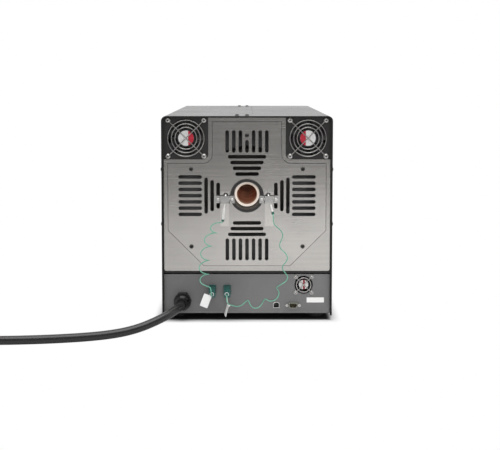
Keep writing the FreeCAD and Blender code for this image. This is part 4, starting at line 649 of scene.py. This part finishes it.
class Tree:
    """A geometry tree with a finish and named sizes as its inputs."""

    def __init__(self, name, *lengths):
        self.group = bpy.data.node_groups.new(name, "GeometryNodeTree")
        face = self.group.interface
        face.new_socket("Geometry", in_out="INPUT", socket_type="NodeSocketGeometry")
        for label in lengths:
            face.new_socket(label, in_out="INPUT", socket_type="NodeSocketFloat")
        face.new_socket("Material", in_out="INPUT", socket_type="NodeSocketMaterial")
        face.new_socket("Geometry", in_out="OUTPUT", socket_type="NodeSocketGeometry")
        self.inputs = self.group.nodes.new("NodeGroupInput").outputs
        self.end = self.group.nodes.new("NodeGroupOutput")

    def node(self, kind, settings=None, **links):
        """A node with its inputs joined; gives its first output."""
        made = self.group.nodes.new(kind)
        for key, value in (settings or {}).items():
            setattr(made, key, value)
        for key, value in links.items():
            self.join(value, made.inputs[key.replace("_", " ")])
        return made.outputs[0]

    def join(self, value, socket):
        if isinstance(value, bpy.types.NodeSocket):
            self.group.links.new(value, socket)
        elif isinstance(value, list):
            for part in value:
                self.group.links.new(part, socket)
        else:
            socket.default_value = value

    def scatter(self, shape):
        """Puts a shape on every point, turned to the point's stored direction, and ends the tree."""
        facing = self.node("GeometryNodeInputNamedAttribute", {"data_type": "FLOAT_VECTOR"}, Name="facing")
        turn = self.node("FunctionNodeAlignRotationToVector", {"axis": "Z"}, Vector=facing)
        points = self.node("GeometryNodeMeshToPoints", Mesh=self.inputs["Geometry"])
        placed = self.node("GeometryNodeInstanceOnPoints", Points=points, Instance=shape, Rotation=turn)
        real = self.node("GeometryNodeRealizeInstances", Geometry=placed)
        done = self.node("GeometryNodeSetMaterial", Geometry=real, Material=self.inputs["Material"])
        self.group.links.new(done, self.end.inputs[0])
        return self.group


def cross_tree():
    """Cross recess: two dark bars that sink into a screw's head and paint the recess's shade."""
    tree = Tree("cross_recess", "Arm", "Bar", "Depth")
    arm, bar, depth = (tree.inputs[label] for label in ("Arm", "Bar", "Depth"))
    bars = []
    for first, second in ((arm, bar), (bar, arm)):
        size = tree.node("ShaderNodeCombineXYZ", X=first, Y=second, Z=depth)
        bars.append(tree.node("GeometryNodeMeshCube", Size=size))
    return tree.scatter(tree.node("GeometryNodeMeshBoolean", {"operation": "UNION"}, Mesh_2=bars))


def bead_tree():
    """Weld beads where the wires of a guard cross."""
    tree = Tree("weld_beads", "Radius")
    ball = tree.node("GeometryNodeMeshIcoSphere", Radius=tree.inputs["Radius"], Subdivisions=2)
    return tree.scatter(tree.node("GeometryNodeSetShadeSmooth", Geometry=ball))


def pin_tree():
    """Round contact pins with a rounded nose."""
    tree = Tree("contact_pins", "Radius", "Length")
    radius, span = tree.inputs["Radius"], tree.inputs["Length"]
    rod = tree.node("GeometryNodeMeshCylinder", Vertices=12, Radius=radius, Depth=span)
    nose = tree.node("GeometryNodeMeshUVSphere", Segments=12, Rings=6, Radius=radius)
    half = tree.node("ShaderNodeMath", {"operation": "MULTIPLY"}, Value=span)
    half.node.inputs[1].default_value = 0.5
    lift = tree.node("ShaderNodeCombineXYZ", Z=half)
    tip = tree.node("GeometryNodeTransform", Geometry=nose, Translation=lift)
    return tree.scatter(tree.node("GeometryNodeJoinGeometry", Geometry=[rod, tip]))


def scattered(name, group, points, material, slot, **inputs):
    """One mesh of a tree's shape at every (place, direction) pair, carried by the housing."""
    mesh = bpy.data.meshes.new(name + "_points")
    mesh.from_pydata([place for place, facing in points], [], [])
    store = mesh.attributes.new("facing", "FLOAT_VECTOR", "POINT")
    for item, (place, facing) in zip(store.data, points):
        item.vector = facing
    piece = bpy.data.objects.new(name, mesh)
    bpy.context.scene.collection.objects.link(piece)
    modifier = piece.modifiers.new("Scatter", "NODES")
    modifier.node_group = group
    values = dict(inputs, Material=material)
    for item in group.interface.items_tree:
        if item.in_out == "INPUT" and item.name in values:
            modifier[item.identifier] = values[item.name]
    graph = bpy.context.evaluated_depsgraph_get()
    made = bpy.data.meshes.new_from_object(piece.evaluated_get(graph))
    made.name = name
    piece.modifiers.remove(modifier)
    piece.data = made
    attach(piece, HOUSING)


# Operators


class StageOperator(bpy.types.Operator):
    """Camera, floor and studio light"""

    bl_idname = "furnace.stage"
    bl_label = "Stage"

    def execute(self, context):
        scene = context.scene
        scene.view_settings.view_transform = "Standard"
        self.camera(scene)
        self.floor(scene)
        for name, facts in LAMPS.items():
            self.lamp(scene, name, **facts)
        self.world(scene)
        return {"FINISHED"}

    def camera(self, scene):
        data = bpy.data.cameras.new("camera")
        data.lens = CAMERA_LENS
        data.sensor_width = CAMERA_SENSOR
        data.shift_x, data.shift_y = CAMERA_SHIFT
        camera = bpy.data.objects.new("camera", data)
        camera.location = (0.0, REAR - CAMERA_BACK, CAMERA_HEIGHT)
        camera.rotation_euler = (math.radians(90.0 - CAMERA_TILT), 0.0, 0.0)
        scene.collection.objects.link(camera)
        scene.camera = camera

    def floor(self, scene):
        """White sheet with a painted shadow under the object and painted shade that makes it darker to the
        left; away from it the camera sees plain white.
        """
        finish = Finish("floor_white", Roughness=0.9, Specular_IOR_Level=0.1)
        x, y, _ = finish.axes()
        across = abs(x) + COVER_LOW.x
        along = abs(y - (REAR + FRONT) / 2) - (FRONT - REAR) / 2
        # Painted shadow: the floor's colour is darkened under the object's footprint.
        painted_shadow = 1.0 - across.over(along).rise(*PAINTED_SHADOW_EDGE)
        # Painted shade: the floor is darker to the left and lighter to the right.
        sheet = finish.mix(x.rise(*FLOOR_SHADE_TURN), grey(FLOOR_SHADED_LEFT), grey(FLOOR_LIT_RIGHT))
        finish.feed("Base Color", finish.mix(painted_shadow, sheet, grey(PAINTED_SHADOW_TONE)))
        out_x, out_y = across.over(0.0), along.over(0.0)
        far = (out_x * out_x + out_y * out_y).root().rise(0.0, WHITE_REACH)
        seen = finish.node("ShaderNodeLightPath", output="Is Camera Ray")
        white = finish.node("ShaderNodeEmission", inputs={"Color": grey(1.0)})
        paint = Value(finish, finish.shader.outputs[0])
        both = finish.node("ShaderNodeMixShader", inputs={0: far * seen, 1: paint, 2: white})
        surface = next(n for n in finish.tree.nodes if n.type == "OUTPUT_MATERIAL")
        finish.join(both, surface.inputs["Surface"])
        mesh = bpy.data.meshes.new("floor")
        mesh.from_pydata([(x, y, 0.0) for x, y in FLOOR_OUTLINE], [], [tuple(range(len(FLOOR_OUTLINE)))])
        mesh.materials.append(finish.material)
        floor = bpy.data.objects.new("floor", mesh)
        scene.collection.objects.link(floor)

    def lamp(self, scene, name, place, aim, size, power, mirrored):
        data = bpy.data.lights.new(name, "AREA")
        data.size = size
        data.energy = power
        lamp = bpy.data.objects.new(name, data)
        lamp.visible_glossy = mirrored
        lamp.location = place
        lamp.rotation_euler = (Vector(aim) - Vector(place)).to_track_quat("-Z", "Y").to_euler()
        scene.collection.objects.link(lamp)

    def world(self, scene):
        """White to the camera, a white wall to reflections behind the object, even grey to the rest."""
        world = bpy.data.worlds.new("studio")
        world.use_nodes = True
        scene.world = world
        tree = world.node_tree
        paint = next(n for n in tree.nodes if n.type == "BACKGROUND")
        sight = tree.nodes.new("ShaderNodeTexCoord")
        split = tree.nodes.new("ShaderNodeSeparateXYZ")
        tree.links.new(sight.outputs["Generated"], split.inputs[0])
        wall = tree.nodes.new("ShaderNodeMapRange")
        wall.interpolation_type = "SMOOTHSTEP"
        wall.inputs["From Min"].default_value, wall.inputs["From Max"].default_value = WALL_TURN
        wall.inputs["To Min"].default_value = WALL_AHEAD
        wall.inputs["To Max"].default_value = WALL_BEHIND
        tree.links.new(split.outputs[1], wall.inputs["Value"])
        path = tree.nodes.new("ShaderNodeLightPath")
        level = wall.outputs[0]
        for ray, value in (("Is Diffuse Ray", WORLD_DIFFUSE), ("Is Camera Ray", WORLD_SEEN)):
            mix = tree.nodes.new("ShaderNodeMix")
            tree.links.new(path.outputs[ray], mix.inputs[0])
            tree.links.new(level, mix.inputs[2])
            mix.inputs[3].default_value = value
            level = mix.outputs[0]
        tree.links.new(level, paint.inputs["Color"])


class ProbeLeadsOperator(bpy.types.Operator):
    """Curly and wavy leads from the probes to their plugs"""

    bl_idname = "furnace.probe_leads"
    bl_label = "Probe leads"

    def execute(self, context):
        green = jacket("lead_jacket", colours().lead, 0.42)
        self.lead("left", self.curly_points(), green, 4, ["left_plug", "cable_tags", "tag_ties"])
        self.lead("right", [at(*point) for point in RIGHT_ROUTE], green, 6, ["right_plug"])
        return {"FINISHED"}

    def lead(self, side, points, material, steps, with_pieces):
        radius = sizes().lead_radius
        piece = lead_curve(side + "_lead_jacket", points, radius, material, steps)
        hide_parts(side + "_lead")
        run_length(points)

    def curly_points(self):
        """Tilted rings round a bent axis, between the probe's boot and the plug."""
        size = sizes()
        a, b, c, e = (at(*point) for point in LEFT_AXIS)
        points = [at(*point) for point in LEFT_START]
        steps = int(size.curls * CURL_POINTS)
        for k in range(CURL_FIRST, steps + 1):
            u = k / steps
            t = 1.0 - u
            centre = a * t ** 3 + b * (3 * t * t * u) + c * (3 * t * u * u) + e * u ** 3
            turn = 2 * math.pi * size.curls * u
            swing = math.sin(turn)
            curl = (size.curl_radius * math.cos(turn), size.curl_depth * swing, size.curl_lift * swing)
            points.append(centre + Vector(curl))
        return points + [at(*point) for point in LEFT_TAIL]


class MainsLeadOperator(bpy.types.Operator):
    """Mains lead: its run along the bench and the coil that is put away"""

    bl_idname = "furnace.mains_lead"
    bl_label = "Mains lead"

    def execute(self, context):
        radius = sizes().cord_radius
        rubber = jacket("cord_rubber", colours().cord, 0.24)
        points = [at(*point) for point in CORD_ROUTE] + [at(CORD_X - COIL_APPROACH, CORD_D, CORD_Z)]
        turns = COIL_IN + COIL_CLIMB + COIL_OUT
        points += [self.coil_place(k / COIL_POINTS) for k in range(int(turns * COIL_POINTS) + 1)]
        points += self.tail_points(points[-1])
        piece = lead_curve("mains_lead", points, radius, rubber, 8)
        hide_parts("mains_cord", "mains_coil")
        run_length(points)
        return {"FINISHED"}

    def coil_place(self, turn):
        """Point of the coil after a number of turns, clockwise from above."""
        centre_d = CORD_D + COIL_OUTER
        inner = COIL_OUTER - COIL_STEP * COIL_IN
        climb = COIL_IN + COIL_CLIMB
        if turn <= COIL_IN:
            radius, height = COIL_OUTER - COIL_STEP * turn, 0.0
        elif turn <= climb:
            radius, height = inner, COIL_LAYER * (turn - COIL_IN) / COIL_CLIMB
        else:
            radius, height = inner + COIL_STEP * (turn - climb), COIL_LAYER
        angle = -math.pi / 2 - 2 * math.pi * turn
        return at(COIL_X + radius * math.cos(angle), centre_d + radius * math.sin(angle), CORD_Z + height)

    def tail_points(self, last):
        """Straight off the coil, down to the plug's level and straight into the plug."""
        straight = Vector((0.0, COIL_APPROACH * MM, 0.0))
        drop = Vector((0.0, TAIL_DROP * MM, (middle("mains_plug").z - last.z) / 2))
        tail = last + Vector((0.0, TAIL_RUN * MM, 0.0))
        return [last + straight, tail, tail + drop, tail + 2 * drop, tail + 2 * drop + straight]


class HousingOperator(bpy.types.Operator):
    """Finishes of the covers, end frames, panels and feet"""

    bl_idname = "furnace.housing"
    bl_label = "Housing"

    def execute(self, context):
        tint = colours()
        dress(powder_coat("cover_coat", tint.cover, 0.28, rim=True), "left_cover", "right_cover")
        dress(powder_coat("chassis_coat", tint.chassis, 0.5), "rear_chassis_panel", "front_chassis_panel")
        dress(powder_coat("panel_coat", tint.panel, 0.48), "connector_panel", "control_panel")
        dress(powder_coat("collar_coat", shade(tint.chassis, 1.3), 0.45), "tube_collars")
        dress(brushed_steel("panel_steel", shade(tint.steel, 0.96), 0.24, 0), "rear_steel_panel")
        dress(brushed_steel("vent_steel", tint.steel, 0.23, 0), "rear_vent_plate", "front_vent_plate")
        dress(brushed_steel("wear_plate_steel", shade(tint.steel, 1.25), 0.24, 2), "probe_plates")
        dress(brushed_steel("zinc_sheet", tint.zinc, 0.45, 1), "base_pan", "divider_shelf", "power_supply")
        # Painted shade: the drum and its cradles are darkened so that the slots in front of them read dark.
        dress(brushed_steel("shaded_drum_sheet", tint.scale, 0.6, 1), "furnace_drum")
        dress(powder_coat("shaded_bulkhead_primer", shade(tint.zinc, 0.7), 0.7), "drum_cradles")
        # Painted shadow: a dark strip stands for the shadow line round the slotted plate.
        self.paint_shadow_line(moulded("shadow_line_black", shade(tint.black, 2.2), 0.7))
        dress(moulded("foot_rubber", shade(tint.cord, 1.2), 0.7), "feet")
        dress(plated("black_screw", tint.dark_screw, 0.3), "cover_screws", "panel_screws")
        return {"FINISHED"}

    def plate_outline(self):
        """Corners of the slotted plate in X and Z, from the top of its right half round to the left."""
        low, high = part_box("rear_vent_plate")
        neck, shoulder, bend, cut = (
            place * MM for place in (PLATE_NECK, PLATE_SHOULDER, PLATE_BEND, PLATE_CUT))
        right = [(neck, high.z), (neck, shoulder + bend)]
        right += [(neck + bend * (1.0 - math.cos(angle)), shoulder + bend * (1.0 - math.sin(angle)))
                  for angle in (math.pi / 2 * k / 8 for k in range(1, 9))]
        right += [(high.x, shoulder), (high.x, low.z + cut), (high.x - cut, low.z)]
        return [Vector(place) for place in right] + [Vector((-x, z)) for x, z in reversed(right)]

    def paint_shadow_line(self, material):
        """Dark strip that paints the shadow line round the slotted plate."""
        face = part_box("rear_steel_panel")[0].y
        ring = self.plate_outline()
        count = len(ring)
        reach = sizes().shadow_line_width

        def build(bm):
            inner, outer = [], []
            for k, here in enumerate(ring):
                ahead = (ring[(k + 1) % count] - here).normalized()
                back = (here - ring[k - 1]).normalized()
                out = Vector((-ahead.y - back.y, ahead.x + back.x))
                out *= 2.0 * reach / out.length_squared if out.length else 0.0
                for loop, place in ((inner, here), (outer, here + out)):
                    loop.append(bm.verts.new((place.x, face, place.y)))
            faces = []
            for k in range(count):
                after = (k + 1) % count
                faces.append(bm.faces.new((inner[k], inner[after], outer[after], outer[k])))
            thicken(bm, faces, SHADOW_LINE_STOCK * MM)

        mesh_piece("vent_plate_shadow_line", build, material)


class HotZoneOperator(bpy.types.Operator):
    """Finishes of the tube, heaters, insulation and board"""

    bl_idname = "furnace.hot_zone"
    bl_label = "Hot zone"

    def execute(self, context):
        tint = colours()
        dress(fired_tube("fired_tube", tint.alumina, tint.stain), "furnace_tube")
        dress(fibre_board("heater_ceramic", shade(tint.alumina, 0.9)), "heater_shells")
        dress(fibre_board("insulation_fibre", tint.fibre), "insulation_shells")
        dress(circuit_board("circuit_board"), "control_board")
        return {"FINISHED"}


class FansOperator(bpy.types.Operator):
    """Fans: moulded frames, wire guards, weld beads and hub labels"""

    bl_idname = "furnace.fans"
    bl_label = "Fans"

    def execute(self, context):
        size = sizes()
        tint = colours()
        dress(moulded("fan_black", tint.black, 0.42), *(side + "_fan_frame" for side in GUARDS))
        dress(moulded("rotor_black", shade(tint.black, 1.4), 0.36), *(side + "_fan_rotor" for side in GUARDS))
        wire = plated("guard_wire", tint.wire, 0.24)
        dress(wire, "left_fan_guard", "right_fan_guard")
        dress(plated("small_guard_wire", shade(tint.bright, 0.72), 0.24, 0.9), "small_fan_guard")
        dress(plated("fan_screw", shade(tint.bright, 0.75), 0.22, 0.9), "fan_screws")
        for side, band in (("left", (0.28, 0.99)), ("right", (-0.99, -0.28))):
            self.label(side, size.fan_label, band, shade(tint.paper, 0.74), tint.red)
        self.label("small", size.small_label, (-0.12, 0.30), shade(tint.paper, 0.8), shade(tint.red, 0.6))
        tree = bead_tree()
        for side, (rings, wire_radius) in GUARDS.items():
            scattered(side + "_guard_welds", tree, self.welds(side, rings, wire_radius), wire, "bright_metal",
                      Radius=size.bead * wire_radius)
        return {"FINISHED"}

    def label(self, side, radius, band, base, ink):
        """Round film on the hub, with one coloured segment between two shares of the radius."""
        centre = middle(side + "_fan_frame")
        centre.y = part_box(side + "_fan_frame")[0].y
        start, end = (share * radius for share in band)
        finish = two_tone_label(side + "_hub_film", centre.x, start, end, base, ink)
        outline = ring_points(centre, radius)
        stock = sizes().label_stock
        mesh_piece(side + "_fan_label", lambda bm: film(bm, outline, stock), finish)

    def welds(self, side, rings, wire_radius):
        """Places where the rings of a guard cross its diagonal spokes."""
        centre = middle(side + "_fan_guard")
        centre.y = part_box(side + "_fan_guard")[0].y + BEAD_SET * wire_radius * MM
        return [(centre + around(radius * MM, math.pi / 4 + math.pi / 2 * k), TO_REAR)
                for radius in rings for k in range(4)]


class ScrewRecessesOperator(bpy.types.Operator):
    """Cross recesses of the screws"""

    bl_idname = "furnace.screw_recesses"
    bl_label = "Screw recesses"

    def execute(self, context):
        size = sizes()
        dark = plated("recess_shadow", colours().recess, 0.5)
        tree = cross_tree()
        large_fans = self.on_fans(("left", "right"), FAN_PITCH, FAN_HEADS)
        small_fan = self.on_fans(("small",), SMALL_FAN_PITCH, SMALL_FAN_HEADS)
        for name, arm, points in (
                ("fan_recesses", size.recess_m4, large_fans),
                ("panel_recesses", size.recess_m4, self.on_panels()),
                ("cover_recesses", size.recess_m4, self.on_covers()),
                ("small_recesses", size.recess_m3, small_fan)):
            scattered(name, tree, points, dark, "black_screw", Arm=arm, Bar=arm * RECESS_BAR,
                      Depth=RECESS_STOCK * MM)
        return {"FINISHED"}

    def on_fans(self, sides, pitch, heads):
        centres = [middle(side + "_fan_frame") / MM for side in sides]
        reach = (-pitch / 2, pitch / 2)
        return [(at(centre.x + x, heads - RECESS_PROUD, centre.z + z), TO_REAR)
                for x in reach for z in reach for centre in centres]

    def on_panels(self):
        rear = [(at(x, REAR_HEADS - RECESS_PROUD, z), TO_REAR) for x, z in VENT_SCREWS + (TOP_VENT_SCREW,)]
        return rear + [(at(x, FRONT_HEADS + RECESS_PROUD, z), TO_FRONT) for x, z in VENT_SCREWS]

    def on_covers(self):
        across, top = SIDE_HEADS - RECESS_SUNK, TOP_HEADS - RECESS_SUNK
        sides = [(at(side * across, d, z), (side, 0.0, 0.0))
                 for d in SIDE_SCREW_D for z in SIDE_SCREW_Z for side in (-1, 1)]
        return sides + [(at(x, d, top), UPWARDS) for d in TOP_SCREW_D for x in TOP_SCREW_X]


class ProbesOperator(bpy.types.Operator):
    """Probes, clamps, plugs and tags"""

    bl_idname = "furnace.probes"
    bl_label = "Probes"

    def execute(self, context):
        tint = colours()
        dress(plated("probe_sheath", shade(tint.bright, 1.15), 0.2, 0.4), "left_probe", "right_probe")
        dress(plated("strap_steel", shade(tint.bright, 0.75), 0.14, 0.95), "probe_straps")
        dress(plated("strap_screw", tint.bright, 0.25, 0.7), "strap_screws")
        dress(moulded("boot_green", tint.boot, 0.4), "probe_boots")
        plug_green = moulded("plug_green", tint.plug, 0.3, grain=700.0, coat=0.25)
        dress(plug_green, "left_plug", "right_plug", "probe_sockets")
        dress(card("tag_card", tint.paper), "cable_tags", "tag_ties")
        return {"FINISHED"}


class ConnectorsOperator(bpy.types.Operator):
    """Data sockets with their inserts and pins, the blank label and the lead gland"""

    bl_idname = "furnace.connectors"
    bl_label = "Connectors"

    def execute(self, context):
        tint = colours()
        dress(shell_with_insert("usb_shell", "usb_socket", USB_OPENING, tint.paper, tint.usb_insert, 0.2),
              "usb_socket")
        dress(shell_with_insert("serial_shell", "serial_socket", SERIAL_OPENING, tint.serial,
                                tint.serial_insert, 0.5), "serial_socket")
        dress(plated("post_plate", tint.bright, 0.22), "serial_posts")
        scattered("serial_pins", pin_tree(), self.pin_points(), plated("contact_gold", tint.gold, 0.25),
                  "bright_metal", Radius=PIN_RADIUS * MM, Length=PIN_LENGTH * MM)
        self.blank_label(card("label_film", tint.paper))
        nylon = moulded("gland_nylon", shade(tint.black, 0.25), 0.10, specular=0.25, dusty=0.01)
        dress(nylon, "gland_body", "gland_nut", "mains_tie")
        dress(moulded("plug_rubber", tint.cord, 0.5), "mains_plug")
        return {"FINISHED"}

    def pin_points(self):
        """Two staggered rows, the wide one above."""
        centre = middle("serial_socket")
        centre.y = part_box("serial_socket")[0].y + PIN_SET * MM
        wide = sizes().pins
        return [(centre + Vector(((k - (count - 1) / 2) * PIN_PITCH * MM, 0.0, row * PIN_ROW * MM)), TO_REAR)
                for row, count in ((1, wide), (-1, wide - 1)) for k in range(count)]

    def blank_label(self, material):
        half_x, half_z = (half * MM for half in BLANK_HALF)
        outline = rounded_points(at(*BLANK_PLACE), half_x, half_z, BLANK_CORNER * MM)
        stock = sizes().label_stock
        mesh_piece("blank_label", lambda bm: film(bm, outline, stock), material)


class ControlsOperator(bpy.types.Operator):
    """Display, keys and switch on the far end"""

    bl_idname = "furnace.controls"
    bl_label = "Controls"

    def execute(self, context):
        tint = colours()
        dress(smoked_lens("smoked_lens", tint.lens), "display_window")
        dress(moulded("key_cap", tint.key, 0.45), "key_down", "key_up", "key_set")
        dress(moulded("switch_black", tint.black, 0.38), "switch_frame", "switch_rocker")
        return {"FINISHED"}


class FurnacePanel(bpy.types.Panel):
    """Sidebar list of the furnace's operators"""

    bl_idname = "VIEW3D_PT_furnace"
    bl_label = "Furnace"
    bl_space_type = "VIEW_3D"
    bl_region_type = "UI"
    bl_category = "Furnace"

    def draw(self, context):
        for operator in OPERATORS:
            self.layout.operator(operator.bl_idname)


OPERATORS = (
    StageOperator, ProbeLeadsOperator, MainsLeadOperator, HousingOperator, HotZoneOperator, FansOperator,
    ScrewRecessesOperator, ProbesOperator, ConnectorsOperator, ControlsOperator,
)
CLASSES = (FurnaceSizes, FurnaceColours) + OPERATORS + (FurnacePanel,)


def register():
    for cls in CLASSES:
        bpy.utils.register_class(cls)
    bpy.types.Scene.furnace_sizes = PointerProperty(type=FurnaceSizes)
    bpy.types.Scene.furnace_colours = PointerProperty(type=FurnaceColours)


def unregister():
    del bpy.types.Scene.furnace_colours
    del bpy.types.Scene.furnace_sizes
    for cls in reversed(CLASSES):
        bpy.utils.unregister_class(cls)


def main():
    register()
    for operator in OPERATORS:
        group, name = operator.bl_idname.split(".")
        getattr(getattr(bpy.ops, group), name)()


if __name__ == "__main__":
    main()
